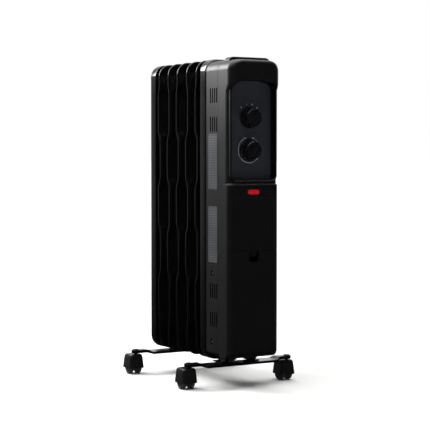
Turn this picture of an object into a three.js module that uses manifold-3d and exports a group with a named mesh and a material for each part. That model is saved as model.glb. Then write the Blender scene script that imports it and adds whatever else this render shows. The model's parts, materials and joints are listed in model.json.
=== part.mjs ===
// Oil filled radiator heater: a stack of seven pressed steel fins, a tall control housing on its front
// end, and two cross bars with four twin-wheel casters.
// Units are millimetres. +X is to the right seen from the front, +Y runs to the rear, +Z is up.
// The origin is on the floor, under the middle of the heater.
import * as THREE from "three";
import { mergeVertices } from "three/addons/utils/BufferGeometryUtils.js";
import Module from "manifold-3d";

const wasm = await Module();
wasm.setup();

// ---------------------------------------------------------------------------------------------
// Driving dimensions
// ---------------------------------------------------------------------------------------------
const GAP = 0.3; // room left between pieces that touch
const DEPTH = 319; // over the brow at the front and the last fin at the rear
const WIDTH = 110.8; // over the fins, and over the housing

const FIN = {
  count: 7,
  pitch: 37.4,
  bottom: 47.6,
  top: 621.7,
  corner: 24,
  skin: 1.9, // from a fin's middle plane to its outer face
  hem: 5, // thickness of a rolled edge
  wave: 4, // how far an edge steps forward or back
  firstStep: 107.1, // height of the lowest step
  stepPitch: 92.3,
  steps: 6,
  ramp: 18, // height over which one step happens
};
const PAN = { depth: 24, wall: 2.6 }; // the end fins have their rim folded in to a shallow pan
const CHAMBER = { halfWidth: 31, margin: 17, thickness: 13, corner: 26 };
const HUB = { radius: 20, inset: 43, bore: 15, sides: 14 };
const PLUG = { radius: 8, dish: 13, dishDepth: 2, thickness: 1.5 };
const ELEMENT = { tube: 4, spread: 7, flange: 21, flangeThickness: 3, end: 140, pin: 2, pinReach: 14 };

const HOUSING = {
  bottom: 58.2, // the door hangs lower than the shell behind it
  shellBottom: 65,
  top: 616.5,
  wall: 2.5,
  lowerFront: 8, // how far the lower front lies behind the brow
  bezelFront: 10.5,
  panelFace: 26,
  cornerTop: 20,
  cornerLower: 9.5, // upright front edges of the door and the lamp band
  cornerBezel: 12,
  cornerBrow: 16,
  cornerBottom: 13.3,
  sideSeam: 48, // the joint between shell and cover, behind the brow
  coverBottom: 384,
  doorTop: 260,
  doorSeam: 47.5,
  doorTopCorner: 28,
  doorHeel: 12, // the door's lower rear corner, seen from the side
};
const BROW = { low: 571, stepLow: 550, radius: 8 };
const RECESS = {
  halfWidth: 48,
  bottom: 392,
  top: 578,
  corner: 9,
  topCorner: 16,
  turn: 70, // degrees that a top corner bends before the arch begins
  arch: 4,
  return: 2.5,
};
const LAMP_BAND = { halfWidth: 46, bottom: 359.5, top: 381.5, depth: 1.6 };
const LENS = { length: 25, height: 8.8, z: 370, proud: 1 };
const VENTS = {
  heights: [536.3, 482.5, 168, 113.4],
  tall: 28.6,
  slots: 4,
  pitch: 7.5,
  width: 3.2,
  first: 52.6, // the front slot, behind the brow
};
const NOTCH = { halfWidth: 10.5, depth: 21, corner: 6, tab: 8, tabDrop: 10.5 };
const HANDLE = { halfLength: 46, foot: 9, top: 622, low: 615.6, front: 24, width: 18, round: 12, seat: 4.6 };
const POCKET = { halfWidth: 36, front: 22, back: 83.5, floor: 592, wall: 2 };

const KNOB = { baseRadius: 20, faceRadius: 15.8, height: 20, ribs: 24, selectorZ: 509, thermostatZ: 448.4 };
const SHAFT = { radius: 3, reach: 26 };
const SWITCH = { halfX: 15, halfZ: 18, depth: 25 };
const THERMOSTAT = { halfX: 17, halfZ: 21, depth: 25 };
const CUTOFF = { x: 25, z: 470, radius: 9, thickness: 7 };
const TERMINALS = { halfX: 22, depth: 12, low: 300, high: 316, ways: 3 };
const TIP = {
  x: 37,
  halfX: 9,
  pinZ: 298,
  low: 270,
  top: 304,
  earFront: -99,
  earBack: -79,
  sheet: 2,
  pin: 1.5,
  bob: 5,
  bobZ: 279,
};
const TRAY = { halfWidth: 50.4, bottom: 81.8, top: 252, back: 47.5, front: 13, wall: 2 };
const GLAND = { x: -34, z: 100, radius: 5.5, flange: 8, bore: 3.6 };
const HINGE = { z: 71.5, rod: 2, doorLug: 5, lugLength: 7, doorLugX: 42, trayLugX: 33 };

const BAR = {
  halfLength: 118.2,
  tongueTop: 49,
  tongueBottom: 42.5,
  tongueWidth: 17,
  channelHalf: 79,
  channelTop: 44.5,
  channelBottom: 39.5,
  channelWidth: 36,
  sheet: 2,
  frontY: -96,
  rearY: 120.2,
};
const SADDLE = { halfX: 26, halfY: 15, tabOffset: 11.8, tabTop: 84, sheet: 2, boltX: 18 };
const BRACKET = { halfX: 52, front: -104, top: 63, sheet: 2.5, legX: 26, legWidth: 16, boltX: 34 };
const BOLT = {
  shank: 2.5,
  head: 5,
  headHeight: 2.2,
  boss: 4,
  wingHalf: 9,
  wingSheet: 3,
  wingLow: 48,
  wingTop: 55,
};
const CASTER = {
  x: 109.7,
  trail: 10,
  wheelRadius: 13.5,
  wheelWidth: 8,
  wheelX: 8.9,
  axle: 2,
  stem: 3.2,
  headRadius: 6,
  headTop: 51,
  hoodBottom: 12,
  hoodTop: 40,
  hoodX: 16,
  hoodY: 17.5,
  hoodWall: 1.6,
  hoodCorner: 4.5,
};

// Places worked out from them
const REAR_FACE = DEPTH / 2;
const BROW_FACE = -DEPTH / 2;
const behindBrow = (distance) => BROW_FACE + distance;
const finPlane = (number) => REAR_FACE - FIN.skin - (number - 1) * FIN.pitch; // fin 1 is the rear one
const HOUSING_BACK = finPlane(FIN.count) - FIN.skin - GAP;
const LOWER_FRONT = behindBrow(HOUSING.lowerFront);
const BEZEL_FRONT = behindBrow(HOUSING.bezelFront);
const PANEL_FACE = behindBrow(HOUSING.panelFace);
const HINGE_Y = LOWER_FRONT + HOUSING.cornerBottom;
const HUB_HEIGHTS = [FIN.bottom + HUB.inset, FIN.top - HUB.inset];

// ---------------------------------------------------------------------------------------------
// Geometry helpers
// ---------------------------------------------------------------------------------------------
function solid(geometry) {
  const bare = geometry.index ? geometry.toNonIndexed() : geometry.clone();
  bare.deleteAttribute("normal");
  bare.deleteAttribute("uv");
  const merged = mergeVertices(bare, 1e-4);
  return new wasm.Manifold(
    new wasm.Mesh({
      numProp: 3,
      vertProperties: merged.attributes.position.array,
      triVerts: new Uint32Array(merged.index.array),
    }),
  );
}

function geometryOf(body) {
  const mesh = body.getMesh();
  return new THREE.BufferGeometry()
    .setAttribute("position", new THREE.BufferAttribute(new Float32Array(mesh.vertProperties), 3))
    .setIndex(new THREE.BufferAttribute(new Uint32Array(mesh.triVerts), 1));
}

const join = (first, ...more) => more.reduce((sum, next) => sum.add(next), first);
const cut = (first, ...tools) => tools.reduce((rest, tool) => rest.subtract(tool), first);
const common = (first, ...more) => more.reduce((sum, next) => sum.intersect(next), first);

function box(x0, x1, y0, y1, z0, z1) {
  const shape = new THREE.BoxGeometry(x1 - x0, y1 - y0, z1 - z0);
  return solid(shape.translate((x0 + x1) / 2, (y0 + y1) / 2, (z0 + z1) / 2));
}

// A rectangle with a radius for each corner: lower left, lower right, upper right, upper left.
function roundedRect(x0, x1, y0, y1, a, b = a, c = a, d = a) {
  const shape = new THREE.Shape();
  shape.moveTo(x0 + a, y0);
  shape.lineTo(x1 - b, y0);
  if (b > 0) shape.absarc(x1 - b, y0 + b, b, -Math.PI / 2, 0);
  shape.lineTo(x1, y1 - c);
  if (c > 0) shape.absarc(x1 - c, y1 - c, c, 0, Math.PI / 2);
  shape.lineTo(x0 + d, y1);
  if (d > 0) shape.absarc(x0 + d, y1 - d, d, Math.PI / 2, Math.PI);
  shape.lineTo(x0, y0 + a);
  if (a > 0) shape.absarc(x0 + a, y0 + a, a, Math.PI, 1.5 * Math.PI);
  return shape;
}

function extrude(shape, depth, curveSegments) {
  return new THREE.ExtrudeGeometry(shape, { depth, curveSegments, bevelEnabled: false });
}

// A shape drawn in X and Z, pushed from y0 to y1.
function alongY(shape, y0, y1, curveSegments = 2) {
  return solid(extrude(shape, y1 - y0, curveSegments).rotateX(Math.PI / 2).translate(0, y1, 0));
}

// A shape drawn in Y and Z, pushed from x0 to x1.
function alongX(shape, x0, x1, curveSegments = 2) {
  const turn = new THREE.Matrix4().makeBasis(
    new THREE.Vector3(0, 1, 0),
    new THREE.Vector3(0, 0, 1),
    new THREE.Vector3(1, 0, 0),
  );
  return solid(extrude(shape, x1 - x0, curveSegments).applyMatrix4(turn).translate(x0, 0, 0));
}

// A shape drawn in X and Y, pushed from z0 to z1.
function alongZ(shape, z0, z1, curveSegments = 2) {
  return solid(extrude(shape, z1 - z0, curveSegments).translate(0, 0, z0));
}

function rodX(radius, x0, x1, y, z, sides = 16) {
  const rod = new THREE.CylinderGeometry(radius, radius, x1 - x0, sides).rotateZ(Math.PI / 2);
  return solid(rod.translate((x0 + x1) / 2, y, z));
}

function rodY(radius, x, y0, y1, z, sides = 20, rearRadius = radius) {
  const rod = new THREE.CylinderGeometry(rearRadius, radius, y1 - y0, sides);
  return solid(rod.translate(x, (y0 + y1) / 2, z));
}

function rodZ(radius, x, y, z0, z1, sides = 16) {
  const rod = new THREE.CylinderGeometry(radius, radius, z1 - z0, sides).rotateX(Math.PI / 2);
  return solid(rod.translate(x, y, (z0 + z1) / 2));
}

// A closed skin through horizontal rounded rectangles, given from the lowest to the highest.
function loftUp(levels, cornerSteps = 2) {
  const rings = levels.map(({ x, y, hx, hy, r, z }) => {
    const outline = roundedRect(x - hx, x + hx, y - hy, y + hy, r).getPoints(cornerSteps);
    const points = outline.slice(0, -1).filter((p, i, all) => i === 0 || p.distanceTo(all[i - 1]) > 1e-4);
    return points.map((p) => new THREE.Vector3(p.x, p.y, z));
  });
  const sides = rings[0].length;
  const corners = rings.flat();
  const centres = [rings[0], rings.at(-1)].map((ring) =>
    ring.reduce((sum, p) => sum.add(p), new THREE.Vector3()).divideScalar(sides),
  );
  const faces = [];
  for (let level = 0; level + 1 < rings.length; level++) {
    for (let i = 0; i < sides; i++) {
      const a = level * sides + i;
      const b = level * sides + ((i + 1) % sides);
      faces.push(a, b, b + sides, a, b + sides, a + sides);
    }
  }
  const low = corners.length;
  const lastRing = (rings.length - 1) * sides;
  for (let i = 0; i < sides; i++) {
    const next = (i + 1) % sides;
    faces.push(low, next, i, low + 1, lastRing + i, lastRing + next);
  }
  return solid(new THREE.BufferGeometry().setFromPoints([...corners, ...centres]).setIndex(faces));
}

// ---------------------------------------------------------------------------------------------
// Finishes: each call makes a new material
// ---------------------------------------------------------------------------------------------
const FINISHES = {
  blackEnamel: { color: 0x101012, roughness: 0.32, metalness: 0.0 },
  blackPlastic: { color: 0x17171a, roughness: 0.38, metalness: 0.0 },
  housingSteel: { color: 0x1b1c1f, roughness: 0.34, metalness: 0.0 },
  panelPlastic: { color: 0x2b2e34, roughness: 0.3, metalness: 0.0 },
  knobPlastic: { color: 0x121214, roughness: 0.35, metalness: 0.0 },
  redLens: { color: 0xc01f30, roughness: 0.15, metalness: 0.0 },
  zincSteel: { color: 0xa9adb2, roughness: 0.35, metalness: 1.0 },
  greyNylon: { color: 0x3a3a3d, roughness: 0.5, metalness: 0.0 },
  brownResin: { color: 0x4a2c1c, roughness: 0.5, metalness: 0.0 },
  whiteNylon: { color: 0xd8d6cf, roughness: 0.5, metalness: 0.0 },
  brass: { color: 0xb08d46, roughness: 0.35, metalness: 1.0 },
};

const heater = new THREE.Group();

function add(name, body, finish, parent = heater) {
  const mesh = new THREE.Mesh(geometryOf(body), new THREE.MeshStandardMaterial(FINISHES[finish]));
  mesh.name = name;
  parent.add(mesh);
  return mesh;
}

// ---------------------------------------------------------------------------------------------
// Radiator
// ---------------------------------------------------------------------------------------------
const finOutline = (inset = 0) =>
  roundedRect(
    -WIDTH / 2 + inset,
    WIDTH / 2 - inset,
    FIN.bottom + inset,
    FIN.top - inset,
    FIN.corner - inset,
  );

// Side view of a middle fin: its edge steps forward and back in blocks, against its neighbours'.
function steppedProfile(direction) {
  const line = [[0, FIN.bottom]];
  const offsetOver = (step) => (step < 0 || step >= FIN.steps - 1 ? 0 : (step % 2 ? -1 : 1) * FIN.wave);
  for (let step = 0; step < FIN.steps; step++) {
    const z = FIN.firstStep + step * FIN.stepPitch;
    line.push([direction * offsetOver(step - 1), z - FIN.ramp / 2]);
    line.push([direction * offsetOver(step), z + FIN.ramp / 2]);
  }
  line.push([0, FIN.top]);
  const half = FIN.hem / 2;
  const front = line.map(([y, z]) => new THREE.Vector2(y - half, z));
  const rear = line.map(([y, z]) => new THREE.Vector2(y + half, z)).reverse();
  return new THREE.Shape([...front, ...rear]);
}

// The pressed chamber that holds the oil, as a solid slab.
function chamber(y0, y1) {
  const { halfWidth, margin, corner } = CHAMBER;
  return alongY(roundedRect(-halfWidth, halfWidth, FIN.bottom + margin, FIN.top - margin, corner), y0, y1);
}

function middleFin(number) {
  const plane = finPlane(number);
  const direction = number % 2 ? -1 : 1;
  const sheet = alongX(steppedProfile(direction), -WIDTH / 2, WIDTH / 2).translate([0, plane, 0]);
  const reach = FIN.pitch / 2 - GAP / 2;
  const plate = common(sheet, alongY(finOutline(), plane - 10, plane + 10, 2));
  const half = CHAMBER.thickness / 2;
  const hubs = HUB_HEIGHTS.map((z) => rodY(HUB.radius, 0, plane - reach, plane + reach, z, HUB.sides));
  const bore = rodY(HUB.bore, 0, plane - FIN.pitch, plane + FIN.pitch, HUB_HEIGHTS[0], HUB.sides);
  return cut(join(plate, chamber(plane - half, plane + half), ...hubs), bore);
}

// An end fin: its outer face is flat and its rim is folded towards the stack.
function endFin(number) {
  const inward = number === 1 ? -1 : 1;
  const plane = finPlane(number);
  const face = plane - inward * FIN.skin;
  const between = (a, b) => [face + inward * a, face + inward * b].sort((one, other) => one - other);
  const block = alongY(finOutline(), ...between(0, PAN.depth));
  const hollow = alongY(finOutline(PAN.wall), ...between(PAN.wall, PAN.depth + 1));
  const slab = chamber(...between(PAN.wall - 1, CHAMBER.thickness / 2 + FIN.skin + 2));
  const hubEnd = FIN.skin + FIN.pitch / 2 - GAP / 2;
  const hubs = HUB_HEIGHTS.map((z) => rodY(HUB.radius, 0, ...between(PAN.wall - 1, hubEnd), z, HUB.sides));
  const pan = join(cut(block, hollow), slab, ...hubs);
  const boreStart = number === 1 ? PAN.wall + 2 : -1;
  return cut(pan, rodY(HUB.bore, 0, ...between(boreStart, hubEnd + 1), HUB_HEIGHTS[0], HUB.sides));
}

function rearFin() {
  const dish = rodY(PLUG.dish, 0, REAR_FACE - PLUG.dishDepth, REAR_FACE + 1, HUB_HEIGHTS[1]);
  return cut(endFin(1), dish);
}

function oilFillPlug() {
  const seat = REAR_FACE - PLUG.dishDepth + GAP;
  return rodY(PLUG.radius, 0, seat, seat + PLUG.thickness, HUB_HEIGHTS[1], 6);
}

// The tubular heater: two legs joined at the far end, on a flange with two terminal pins.
function heatingElement() {
  const z = HUB_HEIGHTS[0];
  const flangeBack = HOUSING_BACK;
  const flangeFront = flangeBack - ELEMENT.flangeThickness;
  const legs = [-1, 1].map((side) =>
    rodY(ELEMENT.tube, 0, flangeBack - 1, ELEMENT.end, z + side * ELEMENT.spread, 10),
  );
  const bend = box(-ELEMENT.tube, ELEMENT.tube, ELEMENT.end - 6, ELEMENT.end + 2, z - 10.5, z + 10.5);
  const pins = [-1, 1].map((side) =>
    rodY(ELEMENT.pin, 0, flangeFront - ELEMENT.pinReach, flangeFront + 1, z + side * ELEMENT.spread, 8),
  );
  return join(rodY(ELEMENT.flange, 0, flangeFront, flangeBack, z, 6), ...legs, bend, ...pins);
}

add("fin_1_rear", rearFin(), "blackEnamel");
for (let number = 2; number < FIN.count; number++) add("fin_" + number, middleFin(number), "blackEnamel");
add("fin_7_front", endFin(FIN.count), "blackEnamel");
add("oil_fill_plug", oilFillPlug(), "zincSteel");
add("heating_element", heatingElement(), "zincSteel");

// ---------------------------------------------------------------------------------------------
// Control housing
// ---------------------------------------------------------------------------------------------
// Side view of the housing: a flat lower front, a bezel set back a little and a brow over it.
function sideOutline(inset) {
  const top = HOUSING.top - inset;
  const bottom = HOUSING.bottom + inset;
  const lowRadius = HOUSING.cornerBottom - inset;
  const browRadius = BROW.radius - inset;
  const lower = LOWER_FRONT + inset;
  const bezel = BEZEL_FRONT + inset;
  const brow = BROW_FACE + inset;
  const shape = new THREE.Shape();
  shape.moveTo(HOUSING_BACK, bottom);
  shape.lineTo(HOUSING_BACK, top);
  shape.lineTo(brow + browRadius, top);
  shape.absarc(brow + browRadius, top - browRadius, browRadius, Math.PI / 2, Math.PI);
  shape.lineTo(brow, BROW.low + 3);
  shape.quadraticCurveTo(brow, BROW.low - 5, bezel - 2, (BROW.low + BROW.stepLow) / 2 - 2);
  shape.quadraticCurveTo(bezel, BROW.stepLow + 4, bezel, BROW.stepLow - 6);
  shape.lineTo(bezel, HOUSING.coverBottom + 2);
  shape.lineTo(lower, HOUSING.coverBottom - 1);
  shape.lineTo(lower, bottom + lowRadius);
  shape.absarc(lower + lowRadius, bottom + lowRadius, lowRadius, Math.PI, 1.5 * Math.PI);
  return shape;
}

function housingBlock(inset) {
  const x = WIDTH / 2 - inset;
  const roundTop = HOUSING.cornerTop - inset;
  const frontView = roundedRect(-x, x, HOUSING.bottom + inset, HOUSING.top - inset, 2, 2, roundTop, roundTop);
  const back = HOUSING_BACK + (inset > 0 ? 1 : 0);
  const plan = (front, corner) =>
    roundedRect(-x, x, front + inset, back, corner - inset, corner - inset, 0, 0);
  const step = BROW.stepLow + 4;
  const floors = join(
    alongZ(plan(LOWER_FRONT, HOUSING.cornerLower), 0, HOUSING.coverBottom),
    alongZ(plan(BEZEL_FRONT, HOUSING.cornerBezel), HOUSING.coverBottom - 1, step),
    alongZ(plan(BROW_FACE, HOUSING.cornerBrow), step, FIN.top + 10),
  );
  const side = alongX(sideOutline(inset), -x - 1, x + 1);
  const sides = inset > 0 ? side.add(backFill(inset)) : side;
  return common(alongY(frontView, BROW_FACE - 1, back, 3), sides, floors);
}

// Carries a hollow out through the open back of the housing.
function backFill(inset) {
  const x = WIDTH / 2 + 1;
  return box(-x, x, HOUSING_BACK - 1, HOUSING_BACK + 1, HOUSING.bottom + inset, HOUSING.top - inset);
}

// Everything in front of the side seam and above the cover's lower edge.
function coverRegion(grow) {
  const seam = behindBrow(HOUSING.sideSeam) + grow;
  const shape = roundedRect(BROW_FACE - 5, seam, HOUSING.coverBottom - grow, FIN.top + 20, 0, 22, 0, 0);
  return alongX(shape, -WIDTH, WIDTH);
}

// The door's front and sides: below its top line and in front of its side seam.
function doorRegion(grow, heel = 0) {
  const seam = behindBrow(HOUSING.doorSeam) + grow;
  const high = HOUSING.doorTop + grow;
  const shape = roundedRect(BROW_FACE - 5, seam, HOUSING.bottom - 1, high, 0, heel, HOUSING.doorTopCorner, 0);
  return alongX(shape, -WIDTH, WIDTH, 4);
}

function ventCutters() {
  const cutters = [];
  for (const z of VENTS.heights) {
    for (let slot = 0; slot < VENTS.slots; slot++) {
      const y = behindBrow(VENTS.first + slot * VENTS.pitch);
      cutters.push(box(-WIDTH, WIDTH, y - VENTS.width / 2, y + VENTS.width / 2, z, z + VENTS.tall));
    }
  }
  return join(...cutters);
}

function pocketBlock(inset) {
  const { halfWidth, front, back, floor } = POCKET;
  const outline = roundedRect(
    -halfWidth + inset,
    halfWidth - inset,
    behindBrow(front) + inset,
    behindBrow(back) - inset,
    8 - inset,
  );
  return alongZ(outline, floor + inset, inset > 0 ? FIN.top + 5 : HOUSING.top, 2);
}

const lensOutline = (grow) =>
  roundedRect(
    -LENS.length / 2 - grow,
    LENS.length / 2 + grow,
    LENS.z - LENS.height / 2 - grow,
    LENS.z + LENS.height / 2 + grow,
    LENS.height / 2 + grow - 0.1,
  );

const skin = () => cut(housingBlock(0), housingBlock(HOUSING.wall));
const pocketHole = () => pocketBlock(-GAP);

function mainShell() {
  const floorFront = HINGE_Y + HOUSING.cornerBottom + GAP;
  const floorHalf = WIDTH / 2 - HOUSING.wall - GAP;
  const low = HOUSING.shellBottom;
  const floorTop = low + HOUSING.wall;
  const seam = behindBrow(HOUSING.doorSeam);
  const floor = join(
    box(-floorHalf, floorHalf, floorFront, seam + 1, low, floorTop),
    common(housingBlock(0), box(-WIDTH, WIDTH, seam, HOUSING_BACK, low, floorTop)),
  );
  const { halfWidth, bottom, top, depth } = LAMP_BAND;
  const inner = LOWER_FRONT + HOUSING.wall;
  const band = box(-halfWidth, halfWidth, BROW_FACE, LOWER_FRONT + depth, bottom, top);
  const bandBack = box(-halfWidth - 3, halfWidth + 3, inner - 0.5, inner + 1.5, bottom - 3, top + 0.5);
  const tabFace = inner + GAP;
  const tabLow = HOUSING.doorTop - NOTCH.tabDrop;
  const tabHigh = HOUSING.doorTop + 8;
  const tab = box(-NOTCH.tab, NOTCH.tab, tabFace, tabFace + 2, tabLow, tabHigh);
  const tabRoot = box(-NOTCH.tab, NOTCH.tab, inner - 1, tabFace + 2, tabHigh - 4, tabHigh);
  const underside = box(-WIDTH, WIDTH, BROW_FACE, 0, 0, low);
  const shell = cut(skin(), coverRegion(0), doorRegion(0), underside);
  return cut(
    join(shell, floor, bandBack, tab, tabRoot),
    band,
    alongY(lensOutline(GAP), BROW_FACE, inner + 10),
    ventCutters(),
    pocketHole(),
  );
}

// Front view of the control recess, pushed out all round: square at its foot, softly arched at its top.
function recessOutline(grow) {
  const x = RECESS.halfWidth + grow;
  const bottom = RECESS.bottom - grow;
  const top = RECESS.top + grow;
  const low = RECESS.corner + grow;
  const high = RECESS.topCorner + grow;
  const turn = (RECESS.turn * Math.PI) / 180;
  const shoulder = top - RECESS.arch - high * Math.sin(turn);
  const archX = x - high + high * Math.cos(turn);
  const controlX = archX - RECESS.arch * Math.tan(turn);
  const shape = new THREE.Shape();
  shape.moveTo(-x + low, bottom);
  shape.lineTo(x - low, bottom);
  shape.absarc(x - low, bottom + low, low, -Math.PI / 2, 0);
  shape.absarc(x - high, shoulder, high, 0, turn);
  shape.quadraticCurveTo(controlX, top, 0, top);
  shape.quadraticCurveTo(-controlX, top, -archX, top - RECESS.arch);
  shape.absarc(-x + high, shoulder, high, Math.PI - turn, Math.PI);
  shape.absarc(-x + low, bottom + low, low, Math.PI, 1.5 * Math.PI);
  return shape;
}

function upperCover() {
  const panelBack = PANEL_FACE + RECESS.return;
  const region = coverRegion(-GAP);
  const sleeve = alongY(recessOutline(RECESS.return), BROW_FACE - 5, panelBack, 3);
  const ring = common(sleeve, housingBlock(0), region);
  const opening = alongY(recessOutline(0), BROW_FACE - 10, panelBack + 5, 3);
  return cut(join(common(skin(), region), ring), opening, pocketHole());
}

function controlPanel() {
  const plate = alongY(recessOutline(-GAP), PANEL_FACE, PANEL_FACE + RECESS.return);
  const holes = [KNOB.selectorZ, KNOB.thermostatZ].map((z) =>
    rodY(SHAFT.radius + 2 * GAP, 0, PANEL_FACE - 1, PANEL_FACE + 10, z, 16),
  );
  return cut(plate, ...holes);
}

function lowerDoor() {
  const axisY = HINGE_Y;
  const inside = WIDTH / 2 - HOUSING.wall;
  const front = common(skin(), doorRegion(-GAP, HOUSING.doorHeel));
  const floorCut = box(-inside, inside, axisY, 0, 0, HINGE.z);
  // Behind the hinge the sides stay inside a circle about it, so that they swing clear of the shell.
  const reach = behindBrow(HOUSING.doorSeam) - GAP - axisY;
  const heel = cut(
    box(-WIDTH, WIDTH, axisY, axisY + 2 * reach, 0, HINGE.z),
    rodX(reach - GAP / 3, -WIDTH, WIDTH, axisY, HINGE.z, 64),
  );
  const notchLow = HOUSING.doorTop - NOTCH.depth;
  const notchOutline = roundedRect(
    -NOTCH.halfWidth,
    NOTCH.halfWidth,
    notchLow,
    HOUSING.doorTop + 1,
    NOTCH.corner,
    NOTCH.corner,
    0,
    0,
  );
  const notch = alongY(notchOutline, BROW_FACE, axisY, 3);
  const lugs = [-1, 1].map((side) => {
    const x0 = side * HINGE.doorLugX - HINGE.lugLength / 2;
    const web = box(x0, x0 + HINGE.lugLength, LOWER_FRONT + 1, axisY, HINGE.z - 3, HINGE.z + 3);
    return web.add(rodX(HINGE.doorLug, x0, x0 + HINGE.lugLength, axisY, HINGE.z));
  });
  const bore = rodX(HINGE.rod + GAP, -inside, inside, axisY, HINGE.z, 12);
  return cut(join(cut(front, floorCut, heel, notch), ...lugs), bore);
}

function cordTray() {
  const { halfWidth, bottom, top, wall } = TRAY;
  const back = behindBrow(TRAY.back);
  const front = behindBrow(TRAY.front);
  const shell = cut(
    box(-halfWidth, halfWidth, front, back, bottom, top),
    box(-halfWidth + wall, halfWidth - wall, front - 1, back - wall, bottom + wall, top - wall),
  );
  // Two T-shaped hooks that the folded cord is wound on.
  const hooks = [122, 212].map((z) => {
    const post = box(-5, 5, front + 8, back - 1, z - 4, z + 4);
    return post.add(box(-16, 16, front + 8, front + 11, z - 5, z + 5));
  });
  const lugs = [-1, 1].map((side) => {
    const x0 = side * HINGE.trayLugX - HINGE.lugLength / 2;
    const web = box(x0, x0 + HINGE.lugLength, HINGE_Y - 3, HINGE_Y + 3, HINGE.z, bottom + 1);
    return web.add(rodX(HINGE.doorLug, x0, x0 + HINGE.lugLength, HINGE_Y, HINGE.z));
  });
  const bore = rodX(HINGE.rod + GAP, -WIDTH, WIDTH, HINGE_Y, HINGE.z, 12);
  const glandHole = rodY(GLAND.radius + GAP, GLAND.x, back - 10, back + 5, GLAND.z, 14);
  return cut(join(shell, ...hooks, ...lugs), bore, glandHole);
}

function cordGland() {
  const back = behindBrow(TRAY.back);
  const wallFront = back - TRAY.wall;
  return cut(
    join(
      rodY(GLAND.radius, GLAND.x, wallFront - 2, back + 6, GLAND.z, 14),
      rodY(GLAND.flange, GLAND.x, wallFront - GAP - 3, wallFront - GAP, GLAND.z, 14),
    ),
    rodY(GLAND.bore, GLAND.x, wallFront - 10, back + 10, GLAND.z, 12),
  );
}

// A low grip bar that bridges the finger pocket and rests on the top at both ends.
function topHandle() {
  const { halfLength, foot, top, low, front, width, round } = HANDLE;
  const shape = new THREE.Shape();
  const seat = HOUSING.top - HANDLE.seat;
  shape.moveTo(-halfLength, seat);
  shape.quadraticCurveTo(-halfLength + 2, top, -halfLength + round, top);
  shape.lineTo(halfLength - round, top);
  shape.quadraticCurveTo(halfLength - 2, top, halfLength, seat);
  shape.lineTo(halfLength - foot, low);
  shape.lineTo(-halfLength + foot, low);
  const bar = alongY(shape, behindBrow(front), behindBrow(front + width), 2);
  return cut(bar, housingBlock(-GAP));
}

function rearPlate() {
  const half = WIDTH / 2 - HOUSING.wall - GAP;
  const low = HOUSING.shellBottom + HOUSING.wall + GAP;
  const high = HOUSING.top - HOUSING.wall - GAP;
  const roundTop = HOUSING.cornerTop - HOUSING.wall;
  const y1 = HOUSING_BACK - ELEMENT.flangeThickness - 1;
  const outline = roundedRect(-half, half, low, high, 1, 1, roundTop, roundTop);
  const pins = box(-6, 6, y1 - 5, y1 + 5, HUB_HEIGHTS[0] - 12, HUB_HEIGHTS[0] + 12);
  return cut(alongY(outline, y1 - 1.2, y1), pins);
}

add("main_shell", mainShell(), "housingSteel");
add("upper_cover", upperCover(), "blackPlastic");
add("control_panel", controlPanel(), "panelPlastic");
add("lower_door", lowerDoor(), "blackPlastic");
add("cord_tray", cordTray(), "blackPlastic");
add("cord_gland", cordGland(), "greyNylon");
add("door_hinge_rod", rodX(HINGE.rod, -50, 50, HINGE_Y, HINGE.z, 12), "zincSteel");
add("handle_pocket", cut(pocketBlock(0), pocketBlock(POCKET.wall)), "blackPlastic");
add("top_handle", topHandle(), "blackPlastic");
add("rear_plate", rearPlate(), "zincSteel");

// ---------------------------------------------------------------------------------------------
// Controls and the parts behind them
// ---------------------------------------------------------------------------------------------
const PANEL_BACK = PANEL_FACE + RECESS.return;
// The front of the rear plate, less a gap: the parts that hang on it begin here.
const PLATE_FRONT = HOUSING_BACK - ELEMENT.flangeThickness - 1 - 1.2 - GAP;

function knob(z) {
  const back = PANEL_FACE - 2 * GAP;
  const front = PANEL_FACE - KNOB.height;
  const cone = rodY(KNOB.faceRadius, 0, front, back, z, KNOB.ribs, KNOB.baseRadius);
  return cut(cone, rodY(SHAFT.radius + GAP, 0, front + 6, back + 1, z, 12));
}

const knobShaft = (z) =>
  rodY(SHAFT.radius, 0, PANEL_FACE - KNOB.height + 6 + GAP, PANEL_FACE + SHAFT.reach, z, 12);

// A switch or thermostat body with a blind bore for its spindle and two blade terminals at the back.
function switchBody(z, { halfX, halfZ, depth }) {
  const front = PANEL_BACK + GAP;
  const block = box(-halfX, halfX, front, front + depth, z - halfZ, z + halfZ);
  const blades = [-1, 1].map((side) =>
    box(side * 8 - 3, side * 8 + 3, front + depth - 1, front + depth + 8, z - 0.5, z + 0.5),
  );
  const bore = rodY(SHAFT.radius + GAP, 0, front - 1, PANEL_FACE + SHAFT.reach + GAP, z, 12);
  return cut(join(block, ...blades), bore);
}

function indicatorLens() {
  const bandFace = LOWER_FRONT + LAMP_BAND.depth;
  return alongY(lensOutline(0), bandFace - LENS.proud, bandFace + 3);
}

function indicatorLamp() {
  const start = LOWER_FRONT + LAMP_BAND.depth + 3 + GAP;
  const holder = box(-5, 5, start + 11, start + 18, LENS.z - 5, LENS.z + 5);
  return join(rodY(3, 0, start, start + 12, LENS.z, 10), holder);
}

function thermalCutoff() {
  const { x, z, radius, thickness } = CUTOFF;
  const disc = rodY(radius, x, PLATE_FRONT - thickness, PLATE_FRONT, z, 16);
  const blades = box(x - 14, x + 14, PLATE_FRONT - thickness + 1, PLATE_FRONT - thickness + 2, z - 3, z + 3);
  return disc.add(blades);
}

function terminalBlock() {
  const { halfX, depth, low, high, ways } = TERMINALS;
  const front = PLATE_FRONT - depth;
  const step = (2 * halfX) / ways;
  const wells = Array.from({ length: ways }, (_, way) => {
    const x = -halfX + step * (way + 0.5);
    return box(x - step * 0.32, x + step * 0.32, front - 1, front + 6, low + 3, high - 3);
  });
  return cut(box(-halfX, halfX, front, PLATE_FRONT, low, high), ...wells);
}

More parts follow.
